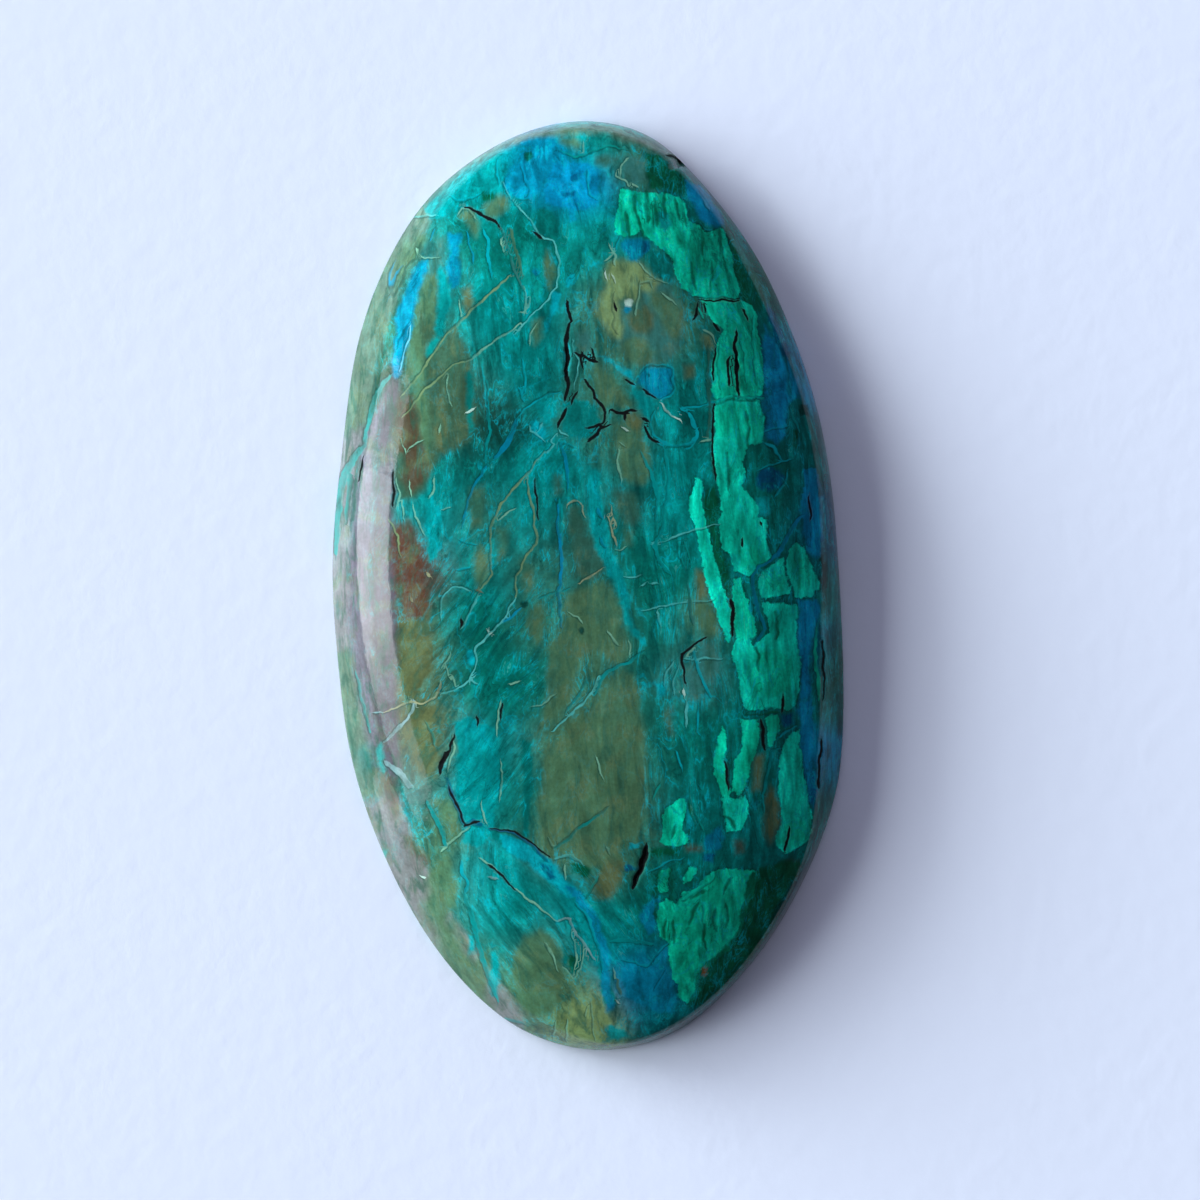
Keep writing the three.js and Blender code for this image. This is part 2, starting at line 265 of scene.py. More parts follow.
# Zones with ragged edges, each later one over those before it
ZONES = (
    # The girdle on the left, from top to foot, partly painted reflection: the haze of the paper it mirrors
    (SAGE_AND_PAINTED_SHEEN, "425,188 382,256 350,336 336,440 366,425 383,342 404,272 436,214"),
    (SAGE_AND_PAINTED_SHEEN, "424,188 455,164 490,145 530,131 570,125 612,127 652,140 684,160 678,163 648,148 610,135 "
        "570,133 532,139 494,153 460,172 432,198"),
    (SMOKE_AND_PAINTED_SHEEN, "336,440 324,560 329,656 356,645 350,555 353,500 366,425"),
    (SAGE_AND_PAINTED_SHEEN, "329,656 342,762 360,802 398,795 383,760 366,700 356,645"),
    (SMOKE_AND_PAINTED_SHEEN, "360,802 374,852 420,946 474,1006 520,1040 528,1015 490,972 448,906 410,830 398,795"),
    # Partly painted reflection: lavender-grey down the shoulder, where the window shows in the polish
    (DUSK_AND_PAINTED_SHEEN, "398,374 400,395 399,440 394,500 397,600 399,700 400,785 385,798 376,740 372,650 371,560 "
        "374,470 379,425 390,390"),
    (ASH_AND_PAINTED_SHEEN, "397,370 390,390 379,425 374,470 371,560 372,650 376,740 385,798 364,740 352,650 349,560 "
        "355,470 368,425 384,390"),
    # Top left
    (TURQUOISE, "478,163 500,158 497,175 503,190 490,192 475,197 460,200 447,192 452,184 465,172"),
    (DEEP_BLUE, "545,205 545,180 552,165 570,160 590,163 600,170 600,205 585,210 565,208"),
    (BLUE, "521,143 539,136 555,138 566,149 570,157 555,162 549,174 539,186 532,200 521,200 511,197 "
        "504,186 503,178 507,171 518,159"),
    (DARK_GREEN, "479,192 497,192 497,200 483,202"),
    (DARK_TEAL, "532,235 536,208 556,212 560,232 545,240"),
    (OLIVE, "483,208 490,200 500,195 508,200 505,212 496,218 488,216"),
    (OLIVE, "458,216 466,209 474,212 479,222 476,236 470,232 466,222"),
    (SEA_GREEN, "520,250 530,238 545,246 545,285 538,302 524,296"),
    (OLIVE, "548,250 553,262 556,275 551,290 546,285 544,272 545,258"),
    (BLUE, "446,232 459,234 460,250 458,262 461,285 455,290 447,288 447,270 449,250"),
    (TURQUOISE, "424,205 440,193 449,200 450,212 440,220 428,216"),
    (OLIVE, "403,246 414,236 424,233 428,239 421,249 417,259 411,270 403,281 398,290 396,281 393,267 "
        "398,255"),
    (SLATE, "438,240 445,238 444,262 441,275 436,290 428,285 424,280 432,262"),
    (OLIVE, "426,278 441,272 440,290 438,300 436,318 434,335 415,335 416,312 419,295"),
    (TURQUOISE, "440,262 453,290 452,305 446,325 444,335 434,335 436,315 438,300"),
    (SKY, "420,262 430,258 427,275 420,290 415,305 414,320 411,335 407,350 402,365 400,375 393,378 "
        "391,368 392,352 394,335 396,318 400,303 407,283"),
    (UMBER, "464,288 470,285 474,300 473,308 468,313 464,303"),
    # Top right
    (OLIVE, "557,135 567,139 575,137 581,145 577,150 569,146 562,142"),
    (SLATE, "596,157 604,155 615,158 622,154 617,164 607,167 598,164"),
    (DARK_GREEN, "645,150 660,155 675,165 683,178 688,195 675,196 660,192 648,190 645,175"),
    (SLATE, "622,158 632,155 645,160 643,180 630,187 624,175"),
    (MALACHITE, "618,206 622,190 637,192 660,195 680,197 688,205 690,222 700,225 706,233 722,230 728,245 "
        "735,270 740,292 737,299 715,297 695,296 683,288 674,276 671,262 668,255 658,245 650,238 640,232 "
        "625,237 616,234 615,215"),
    (DARK_TEAL, "644,250 655,247 668,257 672,268 676,280 668,284 656,275 648,265"),
    (BLUE, "619,241 630,237 645,238 652,240 649,247 643,255 638,262 628,260 620,250"),
    (SLATE, "613,263 625,265 640,262 648,272 660,281 672,290 680,305 684,320 684,335 675,355 660,366 "
        "640,368 620,350 603,330 598,310 600,300"),
    (KHAKI, "606,262 616,258 630,262 640,262 648,272 660,281 652,292 640,290 636,302 624,298 616,300 "
        "605,292 604,276"),
    (OLIVE, "620,345 632,338 646,342 656,352 650,364 636,366 624,356"),
    (KHAKI, "596,312 601,297 606,288 614,290 619,305 622,330 620,341 611,338 603,325"),
    (OLIVE, "650,290 664,292 674,300 683,312 684,330 676,340 665,330 658,316 650,304"),
    (UMBER, "629,318 636,308 645,306 653,315 653,327 646,334 635,334 629,327"),
    (DARK_GREEN, "722,225 728,228 735,245 742,262 748,290 752,305 745,305 738,290 734,270 729,250"),
    (DEEP_BLUE, "684,180 700,185 712,198 722,212 724,222 717,230 708,225 700,218 693,205 687,195"),
    # Upper left
    (DARK_OLIVE, "413,335 420,310 430,325 440,345 455,325 465,345 470,370 473,395 478,420 470,440 "
        "458,448 440,455 430,470 425,490 415,500 400,500 395,470 393,430 396,400 402,380 405,355"),
    (TEAL, "424,345 436,330 441,338 434,352 428,357"),
    (OLIVE, "405,345 416,322 424,350 426,390 432,440 428,470 420,440 412,400"),
    (BROWN, "398,398 410,396 418,412 422,440 428,462 424,482 412,494 402,480 397,440"),
    (DARK_TEAL, "464,372 470,368 474,400 476,432 470,440 466,420"),
    (UMBER, "436,400 442,398 448,430 446,452 438,446"),
    # Upper middle
    (CYAN, "553,290 562,295 560,308 553,318 549,332 545,338 546,325 549,312"),
    (BLUE, "640,372 648,368 660,366 672,368 676,380 672,392 664,400 655,398 645,390 638,382"),
    (CYAN, "600,355 615,358 622,365 632,372 636,378 630,380 622,372"),
    (TURQUOISE, "628,382 640,392 652,400 658,405 656,412 650,420 642,416 636,405 630,395"),
    (OLIVE, "596,362 608,366 615,378 622,390 628,400 632,408 620,406 610,402 604,408 598,398 596,385 "
        "594,372"),
    (SLATE, "575,332 588,330 593,345 588,354 577,350"),
    (TURQUOISE, "535,400 548,396 558,400 556,412 553,422 545,425 540,418"),
    (CYAN, "527,418 538,420 546,432 544,444 532,438"),
    (TEAL, "560,402 575,398 594,405 600,420 592,440 572,440 562,430"),
    (OLIVE, "614,425 625,420 638,425 645,440 650,455 652,475 645,485 630,483 622,480 618,460 614,440"),
    (UMBER, "625,414 636,412 642,422 640,432 630,428"),
    # Upper right
    (MALACHITE, "700,299 715,297 740,300 752,305 758,315 757,330 762,345 763,365 764,380 762,395 735,395 "
        "714,398 711,390 710,375 713,355 719,340 724,330 716,325 710,318 706,308"),
    (DEEP_BLUE, "765,325 772,335 782,350 787,370 786,400 785,425 782,440 775,445 765,440 764,400 763,350"),
    (DARK_TEAL, "788,400 800,396 812,420 818,470 816,510 800,505 792,470 786,430"),
    (NAVY, "765,300 774,312 782,330 790,352 788,362 778,345 768,322"),
    (DEEP_BLUE, "802,470 814,468 822,490 824,540 818,560 806,550 800,510"),
    (BRIGHT_MALACHITE, "715,402 722,397 745,398 760,400 764,415 764,430 762,441 750,444 745,450 742,462 "
        "745,470 742,485 748,495 757,503 760,510 757,518 766,520 768,535 767,545 772,555 765,563 757,568 "
        "752,577 744,578 735,572 730,562 730,552 722,548 719,535 718,520 722,512 720,500 717,485 715,470 "
        "712,440 716,430 714,415"),
    (NAVY, "757,470 770,466 780,470 783,478 779,490 770,493 760,490 756,480"),
    # Middle left
    (RED_BROWN, "397,525 410,520 417,535 422,555 425,575 430,600 430,622 404,622 400,608 398,600 394,575 "
        "390,555 392,535"),
    (UMBER, "402,622 430,622 432,640 433,652 430,670 422,685 410,692 405,680 402,655"),
    (TURQUOISE, "426,500 438,496 441,520 438,555 428,562 424,530"),
    (OLIVE, "478,545 488,555 492,570 484,585 476,590 474,575 474,560"),
    (MOSS, "470,488 484,484 487,505 482,528 472,530 469,510"),
    (MOSS, "497,530 508,528 508,552 500,562"),
    (MOSS, "520,560 532,562 533,590 524,597"),
    (CYAN, "467,652 474,650 477,660 472,668 466,662"),
    # Middle
    (BRONZE, "568,505 578,508 584,520 586,535 595,548 602,560 606,570 600,580 588,582 578,575 574,560 "
        "572,545 570,530 568,518"),
    (OLIVE, "567,595 580,590 595,585 605,582 612,592 617,605 620,618 624,632 627,645 628,655 622,662 "
        "612,665 605,655 596,650 580,660 575,680 570,700 548,700 546,680 549,660 549,645 557,640 563,632 "
        "568,620 565,608"),
    (OLIVE, "528,620 534,608 541,602 545,612 545,630 540,645 534,640 529,630"),
    (BRONZE, "614,490 625,488 636,492 640,505 640,518 632,526 622,522 618,510"),
    (MOSS, "622,528 632,530 632,545 624,545"),
    (TURQUOISE, "588,465 600,470 601,500 605,515 609,530 610,545 615,555 620,568 625,580 627,595 630,610 "
        "634,622 640,635 645,645 640,650 636,640 630,632 624,620 620,608 617,595 612,582 604,568 594,545 "
        "590,530 587,515 588,500"),
    # Middle right
    (DARK_GREEN, "706,490 715,485 720,500 721,515 717,520 718,535 722,550 727,560 731,575 733,600 "
        "728,598 722,585 716,568 710,550 707,530 704,510"),
    (BRIGHT_MALACHITE, "694,477 701,480 703,500 708,535 713,553 718,570 723,585 728,600 731,615 731,642 "
        "728,642 719,620 714,605 709,590 705,575 698,548 694,530 690,515 691,500"),
    (BRIGHT_MALACHITE, "760,578 765,570 775,563 783,556 786,570 788,585 790,596 775,598 762,598 758,590"),
    (BRIGHT_MALACHITE, "786,560 790,548 797,542 804,548 810,560 816,575 817,588 812,597 800,599 794,595 "
        "791,585 788,570"),
    (BRIGHT_MALACHITE, "760,600 775,603 796,605 796,625 797,645 800,660 799,675 797,705 790,709 745,709 "
        "742,695 740,680 735,668 732,652 738,640 743,635 748,640 755,645 762,640 769,632 766,615"),
    (MALACHITE, "733,580 740,580 743,590 748,600 750,612 753,620 757,632 755,640 745,642 738,636 735,620 "
        "733,600"),
    (OLIVE, "694,602 705,601 712,610 716,622 718,632 712,636 703,635 697,625"),
    (UMBER, "696,570 706,574 710,594 700,600"),
    (SLATE, "702,640 716,642 720,662 714,684 706,680 700,662"),
    (SLATE, "686,668 700,670 700,698 688,700"),
    (NIGHT, "817,560 823,556 828,570 826,588 819,590 816,575"),
    (DEEP_BLUE, "797,600 815,600 820,610 815,625 812,640 809,655 808,670 812,700 800,700 799,685 801,665 "
        "799,645"),
    # Lower left
    (SLATE, "355,747 365,745 373,752 374,768 366,768 360,760"),
    (DIM_CYAN, "375,745 381,742 384,758 387,770 383,776 377,765"),
    (BROWN, "383,780 390,778 396,795 402,812 398,815 390,800"),
    (BROWN, "408,835 414,838 422,850 430,862 425,865 415,852"),
    (DIM_CYAN, "385,845 392,841 388,850 384,858"),
    (UMBER, "414,706 425,708 434,705 437,718 432,730 437,745 440,760 435,775 425,778 418,770 412,760 "
        "408,745 405,730 410,720"),
    (TURQUOISE, "455,722 470,716 498,730 500,780 496,830 480,850 462,840 456,800"),
    (MOSS, "455,736 463,735 463,754 456,755"),
    (OLIVE, "433,800 447,797 455,810 460,825 458,832 450,838 446,825 440,812"),
    # Lower middle
    (DARK_TEAL, "522,740 533,742 532,800 530,840 522,838"),
    (OLIVE, "541,760 548,745 560,738 568,725 580,718 590,712 598,700 603,688 612,675 622,668 632,674 "
        "638,688 641,705 643,725 645,745 646,760 645,780 644,800 643,815 640,830 636,840 626,838 620,845 "
        "624,858 622,870 618,885 612,895 600,890 598,875 600,865 590,868 578,862 568,850 560,848 552,850 "
        "543,850 538,842 538,825 537,805 540,790 543,775"),
    (OLIVE, "545,700 575,690 570,705 560,715 548,722 540,728 535,738 540,720"),
    (DARK_GREEN, "566,860 580,864 590,870 588,878 572,876"),
    (BRONZE, "666,710 672,708 672,735 666,734"),
    (CYAN, "656,682 667,680 667,698 658,698"),
    (MALACHITE, "683,797 686,803 684,815 683,830 690,838 688,843 676,846 665,845 659,840 663,828 661,818 "
        "666,808 675,802"),
    (DARK_GREEN, "686,800 692,805 692,834 687,835"),
    (DARK_GREEN, "648,848 664,846 680,848 678,857 650,857"),
    (TEAL, "485,833 500,832 515,836 530,845 545,857 556,868 566,880 572,892 562,893 550,884 540,872 "
        "525,862 510,855 497,845"),
    # Lower right
    (MALACHITE, "741,718 760,720 759,738 755,752 750,768 748,783 744,792 738,798 733,790 733,775 735,760 "
        "740,750 741,735"),
    (MALACHITE, "719,728 724,735 725,745 724,758 725,770 727,782 730,793 728,800 722,795 718,783 714,772 "
        "713,762 715,748 717,738"),
    (BRIGHT_MALACHITE, "722,796 735,800 747,795 748,812 742,832 728,834 722,815"),
    (MALACHITE, "768,717 780,716 781,728 776,738 772,748 767,745 767,730"),
    (NAVY, "783,713 796,712 797,724 785,727"),
    (UMBER, "753,757 762,755 761,788 754,790"),
    (UMBER, "770,785 775,790 779,805 780,822 775,835 770,845 766,835 764,815 766,798"),
    (BRIGHT_MALACHITE, "783,745 790,735 800,728 800,745 802,765 806,783 808,805 812,815 812,835 805,845 "
        "788,855 783,850 777,845 775,838 780,825 781,805 779,765"),
    (DEEP_BLUE, "799,700 812,700 815,715 816,730 814,750 812,765 818,790 817,803 813,812 808,800 806,785 "
        "802,770 801,750"),
    (BLUE, "703,838 715,830 722,828 725,840 722,850 712,852 704,848"),
    (BROWN, "685,846 700,846 700,850 686,851"),
    (NAVY, "700,852 715,853 714,862 702,861"),
    # Foot
    (OLIVE, "440,850 452,850 455,870 459,890 456,905 448,915 457,920 460,932 465,945 470,960 486,950 "
        "488,975 488,1000 495,1012 470,1004 444,965 424,925 425,880"),
    (TURQUOISE, "468,936 474,935 475,957 469,958"),
    (TURQUOISE, "489,952 498,950 500,980 498,1002 490,998"),
    (OLIVE, "538,930 552,938 562,955 564,980 558,1005 545,1020 530,1018 518,1002 513,978 516,952 526,936"),
    (DARK_TEAL, "562,940 567,945 568,962 563,965"),
    (DARK_GREEN, "568,955 580,955 579,975 570,974"),
    (TURQUOISE, "566,885 580,895 588,905 592,915 600,925 606,940 606,960 610,980 614,995 616,1010 "
        "608,1014 603,1000 599,985 597,970 592,955 585,940 576,925 568,910 562,897"),
    (CYAN, "498,834 518,838 536,848 552,860 566,874 578,888 570,900 556,890 544,877 530,866 514,857 "
        "502,846"),
    (SKY, "566,886 578,890 590,906 601,924 608,945 610,985 615,1010 607,1013 602,985 599,950 592,928 "
        "580,910"),
    (UMBER, "598,900 592,890 597,878 605,865 612,858 625,862 622,878 616,890 610,900"),
    (KHAKI, "567,1005 575,1000 585,1002 592,995 600,998 605,1010 615,1022 603,1030 600,1045 570,1045 "
        "566,1030"),
    (SKY, "622,965 635,960 645,965 652,960 660,950 668,948 668,970 672,985 676,1000 672,1012 655,1012 "
        "640,1005 625,998 620,980"),
    (BLUE, "637,915 648,900 660,893 665,905 657,930 650,935 642,925"),
    (MALACHITE, "660,870 671,867 670,880 668,892 662,893 659,882"),
    (MALACHITE, "690,868 697,868 692,880 685,885 682,880"),
    (MALACHITE, "676,905 685,893 697,886 705,875 720,868 748,868 757,870 758,885 755,895 750,903 747,915 "
        "742,928 735,942 728,950 718,960 710,968 700,972 697,980 700,990 695,1000 685,1003 678,998 "
        "677,985 672,975 670,960 668,945 660,935 657,920 660,905 668,900"),
    (DARK_GREEN, "757,870 775,865 790,860 800,862 795,880 780,905 765,935 750,955 735,975 720,992 "
        "705,1005 695,1008 700,985 712,970 730,950 745,925 752,900"),
    (TURQUOISE, "605,1030 612,1025 625,1028 632,1035 620,1042 608,1042"),
)

# Smaller patches that lie over the zones
PATCHES = (
    # Top
    (DARK_GREEN, "522,152 531,151 535,158 527,162"),
    (NAVY, "570,170 585,171 584,180 572,180"),
    (NAVY, "563,190 578,190 577,196 564,196"),
    (SKY, "569,209 575,209 575,221 570,221"),
    (CYAN, "566,275 573,276 573,288 567,287"),
    (BLUE, "534,266 541,272 538,276 533,272"),
    (NAVY, "643,240 652,240 648,249 642,252"),
    (TURQUOISE, "657,215 668,214 672,226 665,235 657,230"),
    (BLUE, "622,305 631,305 632,312 625,314"),
    (WHITE, "625,300 631,299 631,304 626,304"),
    (OLIVE, "533,322 541,320 543,336 535,345"),
    # Upper half
    (NIGHT, "646,373 652,373 652,377 646,376"),
    (UMBER, "685,366 693,365 693,376 686,377"),
    (UMBER, "703,334 712,336 713,350 704,348"),
    (MALACHITE, "716,405 738,404 760,408 762,430 748,441 728,440 716,432"),
    (MALACHITE, "736,550 752,546 764,552 764,562 750,572 738,568"),
    (DARK_GREEN, "792,428 799,428 799,450 793,450"),
    (NIGHT, "800,405 808,405 808,415 801,415"),
    (BRONZE, "555,475 561,476 561,494 556,495"),
    (TURQUOISE, "756,497 770,495 770,516 758,518"),
    # Middle
    (NIGHT, "578,612 583,612 583,616 578,616"),
    (NIGHT, "578,628 583,628 583,636 579,636"),
    (NIGHT, "520,601 528,602 527,606 521,606"),
    (NIGHT, "436,683 440,683 440,690 436,690"),
    (MALACHITE, "766,575 778,568 784,580 782,592 768,592"),
    (MALACHITE, "796,556 805,558 811,574 808,590 798,588"),
    (MALACHITE, "755,655 775,648 790,660 790,690 770,700 752,690 748,670"),
    # Lower half
    (MALACHITE, "784,822 806,818 808,838 792,850 780,842"),
    (NAVY, "808,770 814,772 818,795 812,810 808,795"),
    (NAVY, "541,862 552,866 560,878 550,880"),
    (NAVY, "626,865 637,865 636,870 627,870"),
    (CYAN, "629,842 640,843 639,848 630,848"),
    (BROWN, "735,842 742,842 743,851 736,852"),
    (BLUE, "658,965 668,962 671,990 668,1008 658,1006"),
    (MALACHITE, "728,884 738,882 740,896 730,900"),
    (DARK_GREEN, "751,872 762,866 766,890 758,915 748,938 732,958 716,974 706,990 696,1006 686,1008 "
        "692,992 694,976 704,964 722,950 736,930 742,908 746,890"),
    (DARK_GREEN, "656,875 662,868 660,905 657,930 654,915"),
    (RUST, "702,969 708,969 708,975 702,975"),
    (BROWN, "787,862 799,863 796,878 788,878"),
)

